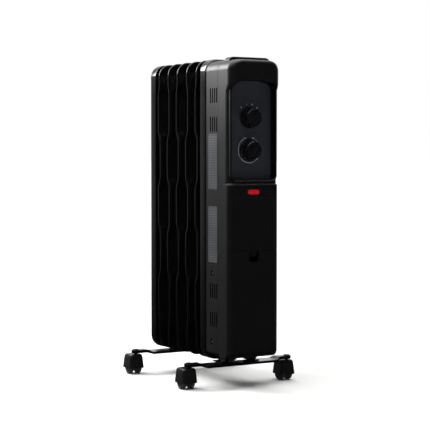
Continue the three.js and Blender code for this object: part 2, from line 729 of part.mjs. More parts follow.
// A hanging weight on a cross pin: it swings aside and opens the circuit when the heater leans.
function tipOverSwitch() {
  const { x, halfX, pinZ, low, top, earFront, earBack, sheet, pin } = TIP;
  const ear = (y) => box(x - halfX, x + halfX, y, y + sheet, low, top);
  const roof = box(x - halfX, x + halfX, earFront, PLATE_FRONT, top - sheet, top);
  const foot = box(x - halfX, x + halfX, PLATE_FRONT - sheet, PLATE_FRONT, low, top);
  return join(roof, ear(earFront), ear(earBack - sheet), foot, rodY(pin, x, earFront, earBack, pinZ, 10));
}

function tipOverPendulum() {
  const { x, pinZ, earFront, earBack, sheet, pin, bob, bobZ } = TIP;
  const y0 = earFront + sheet + 1;
  const y1 = earBack - sheet - 1;
  const middle = (y0 + y1) / 2;
  const stem = box(x - 1.5, x + 1.5, middle - 1.5, middle + 1.5, bobZ, pinZ - 2);
  const eye = rodY(3.6, x, y0, y1, pinZ, 12);
  return cut(join(eye, stem, rodY(bob, x, y0, y1, bobZ, 12)), rodY(pin + GAP, x, y0 - 1, y1 + 1, pinZ, 10));
}

add("selector_knob", knob(KNOB.selectorZ), "knobPlastic");
add("selector_shaft", knobShaft(KNOB.selectorZ), "brass");
add("selector_switch", switchBody(KNOB.selectorZ, SWITCH), "whiteNylon");
add("thermostat_knob", knob(KNOB.thermostatZ), "knobPlastic");
add("thermostat_shaft", knobShaft(KNOB.thermostatZ), "brass");
add("thermostat_body", switchBody(KNOB.thermostatZ, THERMOSTAT), "brownResin");
add("indicator_lens", indicatorLens(), "redLens");
add("indicator_lamp", indicatorLamp(), "whiteNylon");
add("thermal_cutoff", thermalCutoff(), "zincSteel");
add("terminal_block", terminalBlock(), "whiteNylon");
add("tip_over_switch", tipOverSwitch(), "zincSteel");
add("tip_over_pendulum", tipOverPendulum(), "brass");

// ---------------------------------------------------------------------------------------------
// Feet
// ---------------------------------------------------------------------------------------------

// A pressed cross bar: a shallow channel in the middle and a raised tongue at each end.
function footBar(boltX) {
  const { halfLength, tongueTop, tongueBottom, channelHalf, channelTop, channelBottom, sheet } = BAR;
  const half = [
    [channelHalf, channelBottom],
    [channelHalf + 4, tongueBottom],
    [halfLength, tongueBottom],
    [halfLength, tongueTop],
    [channelHalf + 7, tongueTop],
    [channelHalf + 1, channelTop],
  ];
  const mirrored = half.map(([x, z]) => [-x, z]).reverse();
  const profile = new THREE.Shape([...half, ...mirrored].map(([x, z]) => new THREE.Vector2(x, z)));
  const wide = BAR.channelWidth / 2;
  const slim = BAR.tongueWidth / 2;
  const plan = new THREE.Shape();
  plan.moveTo(-channelHalf + 6, -wide);
  plan.lineTo(channelHalf - 6, -wide);
  plan.quadraticCurveTo(channelHalf + 3, -wide, channelHalf + 12, -slim);
  plan.lineTo(halfLength - slim, -slim);
  plan.absarc(halfLength - slim, 0, slim, -Math.PI / 2, Math.PI / 2);
  plan.lineTo(channelHalf + 12, slim);
  plan.quadraticCurveTo(channelHalf + 3, wide, channelHalf - 6, wide);
  plan.lineTo(-channelHalf + 6, wide);
  plan.quadraticCurveTo(-channelHalf - 3, wide, -channelHalf - 12, slim);
  plan.lineTo(-halfLength + slim, slim);
  plan.absarc(-halfLength + slim, 0, slim, Math.PI / 2, 1.5 * Math.PI);
  plan.lineTo(-channelHalf - 12, -slim);
  plan.quadraticCurveTo(-channelHalf - 3, -wide, -channelHalf + 6, -wide);
  const hollowX = channelHalf - 3;
  const hollow = box(-hollowX, hollowX, -wide + sheet, wide - sheet, 0, channelTop - sheet);
  const stemHoles = [-1, 1].map((side) => rodZ(CASTER.stem + 2 * GAP, side * CASTER.x, 0, 0, 100, 12));
  const boltHoles = [-1, 1].map((side) => rodZ(BOLT.shank + GAP, side * boltX, 0, 0, 100, 10));
  const bar = common(alongY(profile, -wide - 1, wide + 1), alongZ(plan, 0, 100));
  return cut(bar, hollow, ...stemHoles, ...boltHoles);
}

// Stands on the rear bar and holds the lowest hub between two tabs, either side of the second fin.
function rearSaddle() {
  const { halfX, halfY, tabOffset, tabTop, sheet, boltX } = SADDLE;
  const y = BAR.rearY;
  const plate = box(-halfX, halfX, y - halfY, y + halfY, BAR.channelTop + GAP, FIN.bottom - GAP);
  const tabs = [-1, 1].map((side) => {
    const middle = y + side * tabOffset;
    return box(-halfX + 2, halfX - 2, middle - sheet / 2, middle + sheet / 2, FIN.bottom - 2, tabTop);
  });
  const hub = rodY(HUB.radius + GAP, 0, y - 40, y + 40, HUB_HEIGHTS[0], 18);
  const holes = [-1, 1].map((side) => rodZ(BOLT.shank + GAP, side * boltX, y, 40, 60, 10));
  return cut(join(plate, ...tabs), hub, ...holes);
}

// A hat-shaped plate between the front bar and the front fin, under the housing.
function frontBracket() {
  const { halfX, front, top, sheet, legX, legWidth, boltX } = BRACKET;
  const back = HOUSING_BACK - GAP;
  const low = BAR.channelTop + GAP;
  const roof = box(-halfX, halfX, front, back, top - sheet, top);
  const flange = box(-legX, legX, back - sheet, back, FIN.bottom, top);
  const legs = [-1, 1].flatMap((side) => {
    const near = side * legX;
    const far = side * (legX + legWidth);
    return [
      box(Math.min(near, near + side * sheet), Math.max(near, near + side * sheet), front, back, low, top),
      box(Math.min(near, far), Math.max(near, far), front, back, low, low + sheet),
    ];
  });
  const holes = [-1, 1].map((side) => rodZ(BOLT.shank + GAP, side * boltX, BAR.frontY, 40, 52, 10));
  return cut(join(roof, flange, ...legs), ...holes);
}

// A bolt put up through the bar, with its head inside the channel.
function clampBolt(x, y, top) {
  const web = BAR.channelTop - BAR.sheet - GAP;
  const head = rodZ(BOLT.head, x, y, web - BOLT.headHeight, web, 10);
  return join(rodZ(BOLT.shank, x, y, web - 1, top, 10), head);
}

// The front bolts carry two wings above the bracket's flange, to be turned by hand.
function wingBolt(x, y) {
  const { boss, wingHalf, wingSheet, wingLow, wingTop } = BOLT;
  const seat = BAR.channelTop + BRACKET.sheet + 2 * GAP;
  const wings = box(x - wingSheet / 2, x + wingSheet / 2, y - wingHalf, y + wingHalf, wingLow, wingTop);
  return join(clampBolt(x, y, wingLow + 2), rodZ(boss, x, y, seat, wingLow + 2, 10), wings);
}

for (const [end, y, boltX] of [
  ["front", BAR.frontY, BRACKET.boltX],
  ["rear", BAR.rearY, SADDLE.boltX],
]) {
  add(end + "_foot_bar", footBar(boltX).translate([0, y, 0]), "blackEnamel");
}
add("front_foot_bracket", frontBracket(), "blackEnamel");
add("rear_foot_saddle", rearSaddle(), "blackEnamel");
for (const [side, sign] of [
  ["left", -1],
  ["right", 1],
]) {
  add("front_wing_bolt_" + side, wingBolt(sign * BRACKET.boltX, BAR.frontY), "zincSteel");
  const top = FIN.bottom - GAP;
  add("rear_clamp_bolt_" + side, clampBolt(sign * SADDLE.boltX, BAR.rearY, top), "zincSteel");
}

// ---------------------------------------------------------------------------------------------
// Casters: everything is drawn about the swivel axis, with the wheels trailing to the rear
// ---------------------------------------------------------------------------------------------
function casterHood() {
  const { trail, hoodBottom, hoodTop, hoodX, hoodY, hoodWall, hoodCorner } = CASTER;
  const { wheelRadius, wheelWidth, wheelX, axle, stem } = CASTER;
  const level = (z, shrink, grow = 0) => ({
    x: 0,
    y: trail,
    hx: hoodX - shrink + grow,
    hy: hoodY - shrink + grow,
    r: hoodCorner + grow,
    z,
  });
  const outside = loftUp([
    level(hoodBottom, 0),
    level(hoodTop - 8, 1.5),
    level(hoodTop - 2, 2.8),
    level(hoodTop, 4.5),
  ]);
  const inside = loftUp([
    level(hoodBottom - 1, -0.1, -hoodWall),
    level(hoodTop - 9, 1.2, -hoodWall),
    level(hoodTop - 6, 4.2, -hoodWall),
  ]);
  const webHalf = wheelX - wheelWidth / 2 - 2 * GAP;
  const web = common(box(-webHalf, webHalf, -40, 60, wheelRadius - 5, hoodTop - 4), outside);
  const axleBoss = rodX(5, -webHalf, webHalf, trail, wheelRadius, 14);
  const stemBoss = rodZ(stem + 2.6, 0, 0, 2 * wheelRadius + 1.2, hoodTop, 14);
  const bore = rodX(axle + GAP, -40, 40, trail, wheelRadius, 10);
  const innerBore = common(bore, box(-hoodX + 3, hoodX - 3, -40, 60, 0, 60));
  const stemBore = rodZ(stem + GAP, 0, 0, hoodTop - 8, hoodTop + 5, 12);
  return cut(join(cut(outside, inside), stemBoss, web, axleBoss), innerBore, stemBore);
}

function casterStem() {
  const { stem, headRadius, headTop, hoodTop } = CASTER;
  return join(
    rodZ(stem, 0, 0, hoodTop - 8 + GAP, headTop - 0.5, 12),
    rodZ(headRadius, 0, 0, BAR.tongueTop + GAP, headTop, 16),
  );
}

function casterWheel(x) {
  const { wheelRadius, wheelWidth, trail, axle } = CASTER;
  const half = wheelWidth / 2;
  const round = 3;
  const profile = [
    [axle + GAP, -half],
    [wheelRadius - round, -half],
    [wheelRadius - 0.9, -half + 1.8],
    [wheelRadius, -half + round + 0.4],
    [wheelRadius, half - round - 0.4],
    [wheelRadius - 0.9, half - 1.8],
    [wheelRadius - round, half],
    [axle + GAP, half],
    [axle + GAP, -half],
  ].map(([r, along]) => new THREE.Vector2(r, along));
  const wheel = new THREE.LatheGeometry(profile, 20).rotateZ(Math.PI / 2);
  return solid(wheel.translate(x, trail, wheelRadius));
}

function addCaster(name, x, y) {
  const caster = new THREE.Group();
  caster.position.set(x, y, 0);
  heater.add(caster);
  const axleHalf = CASTER.hoodX - 3 - GAP;
  add(name + "_hood", casterHood(), "blackPlastic", caster);
  add(name + "_stem", casterStem(), "zincSteel", caster);
  const axle = rodX(CASTER.axle, -axleHalf, axleHalf, CASTER.trail, CASTER.wheelRadius, 10);
  add(name + "_axle", axle, "zincSteel", caster);
  add(name + "_wheel_left", casterWheel(-CASTER.wheelX), "greyNylon", caster);
  add(name + "_wheel_right", casterWheel(CASTER.wheelX), "greyNylon", caster);
}

for (const [side, x] of [["left", -CASTER.x], ["right", CASTER.x]]) {
  addCaster("caster_front_" + side, x, BAR.frontY);
  addCaster("caster_rear_" + side, x, BAR.rearY);
}

export default heater;
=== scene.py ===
"""Detailed visual model of an oil filled radiator heater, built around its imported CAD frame."""

import json
import logging
import math
from dataclasses import dataclass, field
from enum import Enum
from typing import Sequence

import bmesh
import bpy
import numpy as np
from mathutils import Matrix, Vector

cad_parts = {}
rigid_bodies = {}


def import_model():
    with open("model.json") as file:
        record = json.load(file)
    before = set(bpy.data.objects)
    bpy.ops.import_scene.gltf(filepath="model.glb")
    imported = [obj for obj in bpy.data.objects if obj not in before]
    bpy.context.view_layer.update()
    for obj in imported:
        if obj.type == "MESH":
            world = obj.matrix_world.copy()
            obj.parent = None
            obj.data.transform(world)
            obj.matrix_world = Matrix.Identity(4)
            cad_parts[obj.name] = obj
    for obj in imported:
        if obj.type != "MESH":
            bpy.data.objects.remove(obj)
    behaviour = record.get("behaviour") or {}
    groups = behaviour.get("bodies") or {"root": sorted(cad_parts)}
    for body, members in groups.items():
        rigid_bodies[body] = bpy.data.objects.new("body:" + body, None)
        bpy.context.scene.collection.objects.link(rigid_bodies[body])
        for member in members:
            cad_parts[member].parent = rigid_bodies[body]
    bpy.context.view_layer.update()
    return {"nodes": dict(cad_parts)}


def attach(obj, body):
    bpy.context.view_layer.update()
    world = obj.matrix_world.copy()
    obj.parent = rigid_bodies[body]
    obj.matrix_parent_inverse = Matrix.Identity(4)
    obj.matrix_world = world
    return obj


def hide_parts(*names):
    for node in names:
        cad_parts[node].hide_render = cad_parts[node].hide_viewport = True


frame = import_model()

LOG = logging.getLogger("heater")
MM = 0.001
GAP = 0.3
ROOT = "heater"
SIDES = {"left": -1.0, "right": 1.0}

# A cutter that runs through from side to side ends at -REACH and REACH. One that comes from the
# front starts at AHEAD.
REACH = 80.0
AHEAD = -170.0

# How a solid becomes a piece: the merging distance, and the angles in degrees under which faces
# count as one, over which edges are broken and over which shading is crisp.
MERGE_DISTANCE = 0.003
FLAT_ANGLE = 0.4
BREAK_ANGLE = 30.0
SHADE_ANGLE = 38.0

Pair = tuple[float, float]
Triple = tuple[float, float, float]


# --------------------------------------------------------------------------------------------
# Outlines, in millimetres
# --------------------------------------------------------------------------------------------
def arc(cx: float, cy: float, radius: float, start: float, end: float, steps: int = 8) -> list[Pair]:
    """Points along an arc.

    Args:
        cx, cy: The centre.
        radius: The radius.
        start, end: Angles in degrees.
        steps: How many chords the arc has.

    Returns:
        The points, both ends included.
    """
    angles = np.radians(np.linspace(start, end, steps + 1))
    return [(cx + radius * math.cos(t), cy + radius * math.sin(t)) for t in angles]


def curve(start: Pair, control: Pair, end: Pair, steps: int = 8) -> list[Pair]:
    """Points along a quadratic curve.

    Args:
        start, control, end: Its three points.
        steps: How many chords it has.

    Returns:
        The points, both ends included.
    """
    made = []
    for t in np.linspace(0, 1, steps + 1):
        a, b, c = (1 - t) ** 2, 2 * t * (1 - t), t * t
        made.append(tuple(a * s + b * m + c * e for s, m, e in zip(start, control, end)))
    return made


def rounded(x0: float, x1: float, y0: float, y1: float, radii: Sequence[float], steps: int = 8) -> list[Pair]:
    """A rectangle with rounded corners.

    Args:
        x0, x1, y0, y1: Its sides.
        radii: Corner radii at (x0, y0), (x1, y0), (x1, y1) and (x0, y1).
        steps: How many chords each corner has.

    Returns:
        The outline, anticlockwise.
    """
    a, b, c, d = radii
    corners = (
        (x0 + a, y0 + a, a, 180),
        (x1 - b, y0 + b, b, 270),
        (x1 - c, y1 - c, c, 0),
        (x0 + d, y1 - d, d, 90),
    )
    points: list[Pair] = []
    for cx, cy, radius, start in corners:
        points += arc(cx, cy, radius, start, start + 90, steps) if radius > 0 else [(cx, cy)]
    return points


def pill(half_length: float, half_height: float, cx: float, cy: float, steps: int) -> list[Pair]:
    """A slot with round ends, long along its first axis.

    Args:
        half_length, half_height: Half its size each way.
        cx, cy: Its centre.
        steps: How many chords each end has.

    Returns:
        The outline, anticlockwise.
    """
    reach = half_length - half_height
    right = arc(cx + reach, cy, half_height, -90, 90, steps)
    left = arc(cx - reach, cy, half_height, 90, 270, steps)
    return right + left


def mirrored(points: Sequence[Pair]) -> list[Pair]:
    """The same points on the other side of the second axis, in reverse order."""
    return [(-a, b) for a, b in reversed(points)]


def smoothstep(value: np.ndarray | float, low: float, high: float) -> np.ndarray | float:
    """A smooth ramp from 0 at low to 1 at high.

    Args:
        value: Where to read it.
        low, high: Where the ramp starts and ends.

    Returns:
        The ramp's height, from 0 to 1.
    """
    t = np.clip((np.asarray(value, float) - low) / (high - low), 0, 1)
    return t * t * (3 - 2 * t)


@dataclass(frozen=True)
class Layout:
    """Places that more than one sub-assembly works from, in millimetres."""

    fin_bottom: float = 47.6
    hub_heights: Pair = (90.6, 578.7)
    half_width: float = 55.4
    housing_back: float = -69.0
    panel_face: float = -133.5
    selector_z: float = 509.0
    thermostat_z: float = 448.4
    lens_z: float = 370.0
    lens_half: Pair = (12.5, 4.4)
    stem_x: float = 109.7
    front_bar_y: float = -96.0
    rear_bar_y: float = 120.2

    def lens_outline(self, grow: float) -> list[Pair]:
        """Front view of the indicator lens, pushed out all round by grow."""
        half_length, half_height = self.lens_half
        return pill(half_length + grow, half_height + grow, 0, self.lens_z, 14)


PLACE = Layout()


# --------------------------------------------------------------------------------------------
# Solids, in millimetres
# --------------------------------------------------------------------------------------------
class Axis(Enum):
    """The direction that an outline is drawn out along."""

    X = "x"
    Y = "y"
    Z = "z"

    def point(self, along: float, a: float, b: float) -> Triple:
        """The place in space of an outline's point (a, b), so far along this axis."""
        return {Axis.X: (along, a, b), Axis.Y: (a, along, b), Axis.Z: (a, b, along)}[self]


class Operation(Enum):
    """How one solid acts on another."""

    CUT = "DIFFERENCE"
    JOIN = "UNION"
    COMMON = "INTERSECT"


class Solid:
    """A closed body, in millimetres, that others can be joined to or cut from."""

    def __init__(self, mesh: bpy.types.Mesh) -> None:
        """Keeps a closed mesh."""
        self.mesh = mesh

    @classmethod
    def loft(cls, rings: Sequence[Sequence[Sequence[float]]], closed: bool = False) -> "Solid":
        """Skins a row of rings that have the same number of points.

        Args:
            rings: The rings, in order.
            closed: Whether the last ring joins the first. If not, a flat face covers each end.

        Returns:
            The solid, with its faces turned outwards.
        """
        count, rows = len(rings[0]), len(rings)
        points = [tuple(map(float, point)) for ring in rings for point in ring]
        faces = []
        for row in range(rows if closed else rows - 1):
            low, high = row * count, (row + 1) % rows * count
            for i in range(count):
                j = (i + 1) % count
                faces.append((low + i, low + j, high + j, high + i))
        if not closed:
            faces.append(tuple(reversed(range(count))))
            faces.append(tuple(range((rows - 1) * count, rows * count)))
        mesh = bpy.data.meshes.new("solid")
        mesh.from_pydata(points, [], faces)
        bm = bmesh.new()
        bm.from_mesh(mesh)
        bmesh.ops.recalc_face_normals(bm, faces=bm.faces)
        bm.to_mesh(mesh)
        bm.free()
        return cls(mesh)

    @classmethod
    def prism(cls, axis: Axis, outline: Sequence[Pair], low: float, high: float) -> "Solid":
        """An outline drawn out along an axis, from low to high."""
        return cls.loft([[axis.point(along, a, b) for a, b in outline] for along in (low, high)])

    @classmethod
    def block(cls, x: Pair, y: Pair, z: Pair, radius: float = 0.0) -> "Solid":
        """A box between two numbers on each axis, with its upright edges rounded if asked."""
        return cls.prism(Axis.Z, rounded(*x, *y, [radius] * 4, 5), *z)

    @classmethod
    def lathe(
        cls, axis: Axis, centre: Pair, profile: Sequence[Pair], sides: int = 48, closed: bool = False
    ) -> "Solid":
        """Turns a profile about an axis.

        Args:
            axis: The direction of the axis.
            centre: Where the axis is.
            profile: Pairs of radius and distance along the axis.
            sides: How many facets go round.
            closed: Whether the profile's end joins its start, which leaves a bore.

        Returns:
            The solid.
        """
        turns = np.linspace(0, 2 * math.pi, sides, endpoint=False)
        ca, cb = centre
        rings = [
            [axis.point(along, ca + radius * math.cos(t), cb + radius * math.sin(t)) for t in turns]
            for radius, along in profile
        ]
        return cls.loft(rings, closed)

    @classmethod
    def rod(
        cls, axis: Axis, centre: Pair, radius: float, low: float, high: float, sides: int = 32
    ) -> "Solid":
        """A plain round rod along an axis, from low to high."""
        return cls.lathe(axis, centre, [(radius, low), (radius, high)], sides)

    def _combined(self, others: Sequence["Solid"], operation: Operation) -> "Solid":
        """Works other solids into this one.

        Args:
            others: The other solids, taken in order.
            operation: What each of them does.

        Returns:
            A new solid.
        """
        scene = bpy.context.scene.collection.objects
        base = bpy.data.objects.new("base", self.mesh)
        tools = [bpy.data.objects.new("tool", other.mesh) for other in others]
        for item in (base, *tools):
            scene.link(item)
        for tool in tools:
            step = base.modifiers.new("step", "BOOLEAN")
            step.operation = operation.value
            step.solver = "MANIFOLD"
            step.object = tool
        graph = bpy.context.evaluated_depsgraph_get()
        mesh = bpy.data.meshes.new_from_object(base.evaluated_get(graph))
        for item in (base, *tools):
            bpy.data.objects.remove(item)
        return Solid(mesh)

    def cut(self, *others: "Solid") -> "Solid":
        """What is left when other solids are taken away."""
        return self._combined(others, Operation.CUT)

    def join(self, *others: "Solid") -> "Solid":
        """This solid and others as one."""
        return self._combined(others, Operation.JOIN)

    def common(self, *others: "Solid") -> "Solid":
        """What this solid shares with all the others."""
        return self._combined(others, Operation.COMMON)

    def moved(self, offset: Triple, scale: Triple = (1.0, 1.0, 1.0)) -> "Solid":
        """Makes a copy that is scaled about the origin and then moved.

        Args:
            offset: How far it moves.
            scale: Factor along each axis, where -1 mirrors.

        Returns:
            The copy.
        """
        mesh = self.mesh.copy()
        mesh.transform(Matrix.Translation(offset) @ Matrix.Diagonal((*scale, 1.0)))
        if scale[0] * scale[1] * scale[2] < 0:
            mesh.flip_normals()
        return Solid(mesh)

    def piece(self, name: str, bevel: float, segments: int) -> bpy.types.Object:
        """Turns the solid into a finished object in metres, with its edges broken.

        Args:
            name: The object's name.
            bevel: Width of the broken edges, or 0.
            segments: Facets across a broken edge.

        Returns:
            The object.
        """
        bm = bmesh.new()
        bm.from_mesh(self.mesh)
        bmesh.ops.remove_doubles(bm, verts=bm.verts, dist=MERGE_DISTANCE)
        if bevel > 0:
            flat, sharp = math.radians(FLAT_ANGLE), math.radians(BREAK_ANGLE)
            bmesh.ops.dissolve_limit(bm, angle_limit=flat, verts=bm.verts, edges=bm.edges)
            crisp = [edge for edge in bm.edges if edge.is_manifold and edge.calc_face_angle() > sharp]
            bmesh.ops.bevel(
                bm, geom=crisp, offset=bevel, offset_type="OFFSET", segments=segments, profile=0.5,
                affect="EDGES", clamp_overlap=False,
            )
        mesh = bpy.data.meshes.new(name)
        bm.to_mesh(mesh)
        bm.free()
        mesh.transform(Matrix.Scale(MM, 4))
        mesh.shade_smooth()
        mesh.set_sharp_from_angle(angle=math.radians(SHADE_ANGLE))
        made = bpy.data.objects.new(name, mesh)
        bpy.context.scene.collection.objects.link(made)
        weighted = made.modifiers.new("weighted", "WEIGHTED_NORMAL")
        weighted.keep_sharp = True
        return made


# --------------------------------------------------------------------------------------------
# Finishes
# --------------------------------------------------------------------------------------------
def colour(code: str, alpha: float = 1.0) -> tuple[float, float, float, float]:
    """Turns an sRGB hex colour into the linear one that a shader wants.

    Args:
        code: The colour, as six hex digits.
        alpha: Its opacity.

    Returns:
        Linear red, green, blue and alpha.
    """
    parts = [int(code[i : i + 2], 16) / 255 for i in (0, 2, 4)]
    linear = [p / 12.92 if p <= 0.04045 else ((p + 0.055) / 1.055) ** 2.4 for p in parts]
    return (*linear, alpha)


def add_node(
    tree: bpy.types.NodeTree, kind: str, inputs: dict | None = None, **settings: object
) -> bpy.types.Node:
    """Adds a node with its settings and links.

    Args:
        tree: The node tree.
        kind: The node's type.
        inputs: For each input's name or number, a constant or the output linked to it.
        settings: The node's own properties.

    Returns:
        The node.
    """
    node = tree.nodes.new(kind)
    for name, value in settings.items():
        setattr(node, name, value)
    for key, value in (inputs or {}).items():
        if isinstance(value, bpy.types.NodeSocket):
            tree.links.new(value, node.inputs[key])
        else:
            node.inputs[key].default_value = value
    return node


class Pattern(Enum):
    """What the surface's own texture is like."""

    PEEL = "low ripples where a wet coat flowed together"
    SPARK = "fine even pits from a spark-eroded mould"
    FLOW = "slow wander of a smooth moulded face"
    SPANGLE = "crystals of a zinc coat"
    TURNED = "fine rings left by a lathe or a mould's turned insert"
    RULED = "rows of faint lines printed on foil"


class FinishName(Enum):
    """The finishes that pieces ask for."""

    ENAMEL = "radiator_enamel"
    HOUSING = "housing_black"
    PANEL = "panel_grey"
    INNER = "inner_plastic"
    HANDLE = "handle_black"
    KNOB = "knob_black"
    CASTER = "caster_plastic"
    WHEEL = "nylon_grey"
    NYLON = "nylon_white"
    RESIN = "phenolic_brown"
    LENS = "lens_red"
    ZINC = "zinc_steel"
    BRASS = "brass"
    INK = "dial_ink"
    FOIL = "label_foil"


# The wave texture's scale is this much smaller than one over the grain, which draws its lines
# about three times as far apart as the grain says. Nearer together they don't show.
WAVES = 10.0

# Handling and dust change the sheen slowly, over 45 mm, and closely, over 7 mm.
CLOUD_SCALE = 22.0
SMEAR_SCALE = 140.0


@dataclass(frozen=True)
class Finish:
    """One real surface: what it is made of and how its face was made."""

    name: FinishName
    tint: str
    roughness: float
    pattern: Pattern
    grain: float
    depth: float
    second_tint: str = ""
    rough_spread: float = 0.06
    metallic: float = 0.0
    ior: float | None = 1.5
    transmission: float = 0.0
    glow: float = 0.0

    def _texture(self, tree: bpy.types.NodeTree, at: bpy.types.NodeSocket) -> bpy.types.NodeSocket:
        """Adds the surface's own height pattern.

        Args:
            tree: The material's nodes.
            at: Position on the piece, in metres.

        Returns:
            The height, from 0 to 1.
        """
        scale = 1 / (self.grain * MM)
        if self.pattern is Pattern.SPARK:
            pits = add_node(tree, "ShaderNodeTexVoronoi", {"Vector": at, "Scale": scale}, feature="SMOOTH_F1")
            fine = add_node(tree, "ShaderNodeTexNoise", {"Vector": at, "Scale": scale * 2.3, "Detail": 3.0})
            both = {0: pits.outputs["Distance"], 1: fine.outputs[0]}
            return add_node(tree, "ShaderNodeMath", both, operation="ADD").outputs[0]
        if self.pattern is Pattern.SPANGLE:
            cells = add_node(tree, "ShaderNodeTexVoronoi", {"Vector": at, "Scale": scale})
            return cells.outputs["Color"]
        if self.pattern is Pattern.TURNED:
            rings = {"Vector": at, "Scale": scale / WAVES, "Distortion": 0.4, "Detail": 2.0}
            kinds = {"wave_type": "RINGS", "rings_direction": "SPHERICAL"}
            return add_node(tree, "ShaderNodeTexWave", rings, **kinds).outputs[1]
        if self.pattern is Pattern.RULED:
            lines = {"Vector": at, "Scale": scale / WAVES, "Distortion": 0.2, "Detail": 3.0}
            lines["Detail Scale"] = 4.0
            return add_node(tree, "ShaderNodeTexWave", lines, bands_direction="Z").outputs[1]
        ripple = {"Vector": at, "Scale": scale, "Detail": 1.5}
        return add_node(tree, "ShaderNodeTexNoise", ripple).outputs[0]

    def material(self) -> bpy.types.Material:
        """Builds the node material.

        Returns:
            The material.
        """
        made = bpy.data.materials.new(self.name.value)
        made.use_nodes = True
        tree = made.node_tree
        tree.nodes.clear()
        where = add_node(tree, "ShaderNodeTexCoord").outputs["Object"]
        height = self._texture(tree, where)
        wide = {"Vector": where, "Scale": CLOUD_SCALE, "Detail": 6.0}
        cloud = add_node(tree, "ShaderNodeTexNoise", wide).outputs[0]
        close = {"Vector": where, "Scale": SMEAR_SCALE, "Detail": 3.0}
        smear = add_node(tree, "ShaderNodeTexNoise", close).outputs[0]
        blend = add_node(tree, "ShaderNodeMath", {0: cloud, 1: height}, operation="MULTIPLY").outputs[0]
        tints = {0: blend, 6: colour(self.tint), 7: colour(self.second_tint or self.tint)}
        base = add_node(tree, "ShaderNodeMix", tints, data_type="RGBA").outputs[2]
        mixed = add_node(tree, "ShaderNodeMath", {0: cloud, 1: smear}, operation="ADD").outputs[0]
        limits = {
            "Value": mixed,
            "From Min": 0.7,
            "From Max": 1.3,
            "To Min": max(self.roughness - self.rough_spread, 0.02),
            "To Max": min(self.roughness + self.rough_spread, 1.0),
        }
        rough = add_node(tree, "ShaderNodeMapRange", limits).outputs[0]
        bumps = {"Height": height, "Distance": self.depth * MM, "Strength": 1.0}
        normal = add_node(tree, "ShaderNodeBump", bumps).outputs[0]
        values = {
            "Base Color": base,
            "Roughness": rough,
            "Normal": normal,
            "Metallic": self.metallic,
            "Transmission Weight": self.transmission,
            "Emission Color": colour(self.tint),
            "Emission Strength": self.glow,
        }
        if self.ior is not None:
            values["IOR"] = self.ior
        shader = add_node(tree, "ShaderNodeBsdfPrincipled", values)
        add_node(tree, "ShaderNodeOutputMaterial", {"Surface": shader.outputs[0]})
        return made


FINISHES = (
    # Black polyester enamel, sprayed on pressed steel and stoved: a deep gloss whose reflections
    # swim a little, with a faint ripple about 6 mm across.
    Finish(FinishName.ENAMEL, "060607", 0.18, Pattern.PEEL, 6.0, 0.003, "0b0b0d", 0.03),
    # Satin black epoxy powder coat on sheet steel and matching ABS: broad soft highlights over a
    # fine, even grain.
    Finish(FinishName.HOUSING, "0b0b0d", 0.4, Pattern.PEEL, 0.7, 0.012, "101013", 0.04),
    # Blue-grey ABS from a spark-eroded mould: matt, with tiny pits that keep highlights short. Here
    # and below the pits are drawn coarser than they are, so that they show.
    Finish(FinishName.PANEL, "23272e", 0.5, Pattern.SPARK, 0.45, 0.02, "2a2e36", 0.05),
    # Black polypropylene, moulded and never polished: dull with slow changes in sheen.
    Finish(FinishName.INNER, "0e0e10", 0.55, Pattern.SPARK, 0.6, 0.03, "161618", 0.07),
    # Black nylon grip, moulded with a fine leather-like grain that fingers have slightly polished.
    Finish(FinishName.HANDLE, "0c0c0d", 0.38, Pattern.SPARK, 0.8, 0.03, "131315", 0.08),
    # Black ABS knobs, polished mould on the face: smooth with a narrow, clean highlight.
    Finish(FinishName.KNOB, "0c0c0e", 0.27, Pattern.FLOW, 4.0, 0.01, "121216", 0.05),
    # Glass-filled polypropylene hoods: half-gloss, with faint clouding from the flow in the mould.
    Finish(FinishName.CASTER, "0f0f11", 0.34, Pattern.FLOW, 3.0, 0.02, "17171a", 0.07),
    # Grey nylon wheels, moulded against a turned insert: waxy, with very fine rings.
    Finish(FinishName.WHEEL, "2b2c2f", 0.42, Pattern.TURNED, 0.9, 0.015, "36373a", 0.06),
    # Natural white nylon of the electrical parts: slightly waxy and milky.
    Finish(FinishName.NYLON, "d6d3c8", 0.45, Pattern.FLOW, 2.0, 0.02, "e3e0d6", 0.06),
    # Brown phenolic resin, pressed hot: hard, glossy and mottled by its wood-flour filler.
    Finish(FinishName.RESIN, "3a2116", 0.32, Pattern.SPARK, 0.9, 0.015, "532f1e", 0.07),
    # Clear red acrylic over a lamp: a polished, wet-looking face, deep colour inside.
    Finish(FinishName.LENS, "b0141f", 0.12, Pattern.FLOW, 6.0, 0.004, "8c0c16", 0.02, 0.0, 1.49, 0.1, 0.3),
    # Bright zinc plate with a clear passivate on steel: pale blue-white metal with small crystals.
    Finish(FinishName.ZINC, "b4b8bc", 0.3, Pattern.SPANGLE, 1.4, 0.006, "c9cccf", 0.1, 1.0, None),
    # Turned brass: warm metal crossed by the lathe tool's fine rings.
    Finish(FinishName.BRASS, "c79a4b", 0.26, Pattern.TURNED, 0.6, 0.008, "d8b066", 0.06, 1.0, None),
    # White pad-printing ink: a thin, slightly uneven matt film.
    Finish(FinishName.INK, "b9bcc0", 0.6, Pattern.SPARK, 0.3, 0.01, "cfd2d5", 0.05),
    # Blank aluminium foil label under a matt laminate: flat silver-grey with faint ruled rows.
    Finish(FinishName.FOIL, "303236", 0.5, Pattern.RULED, 1.5, 0.004, "5e6064", 0.06, 0.2),
)


# --------------------------------------------------------------------------------------------
# Sub-assemblies
# --------------------------------------------------------------------------------------------
@dataclass
class Piece:
    """One shown object and the finish it gets."""

    item: bpy.types.Object
    finish: FinishName


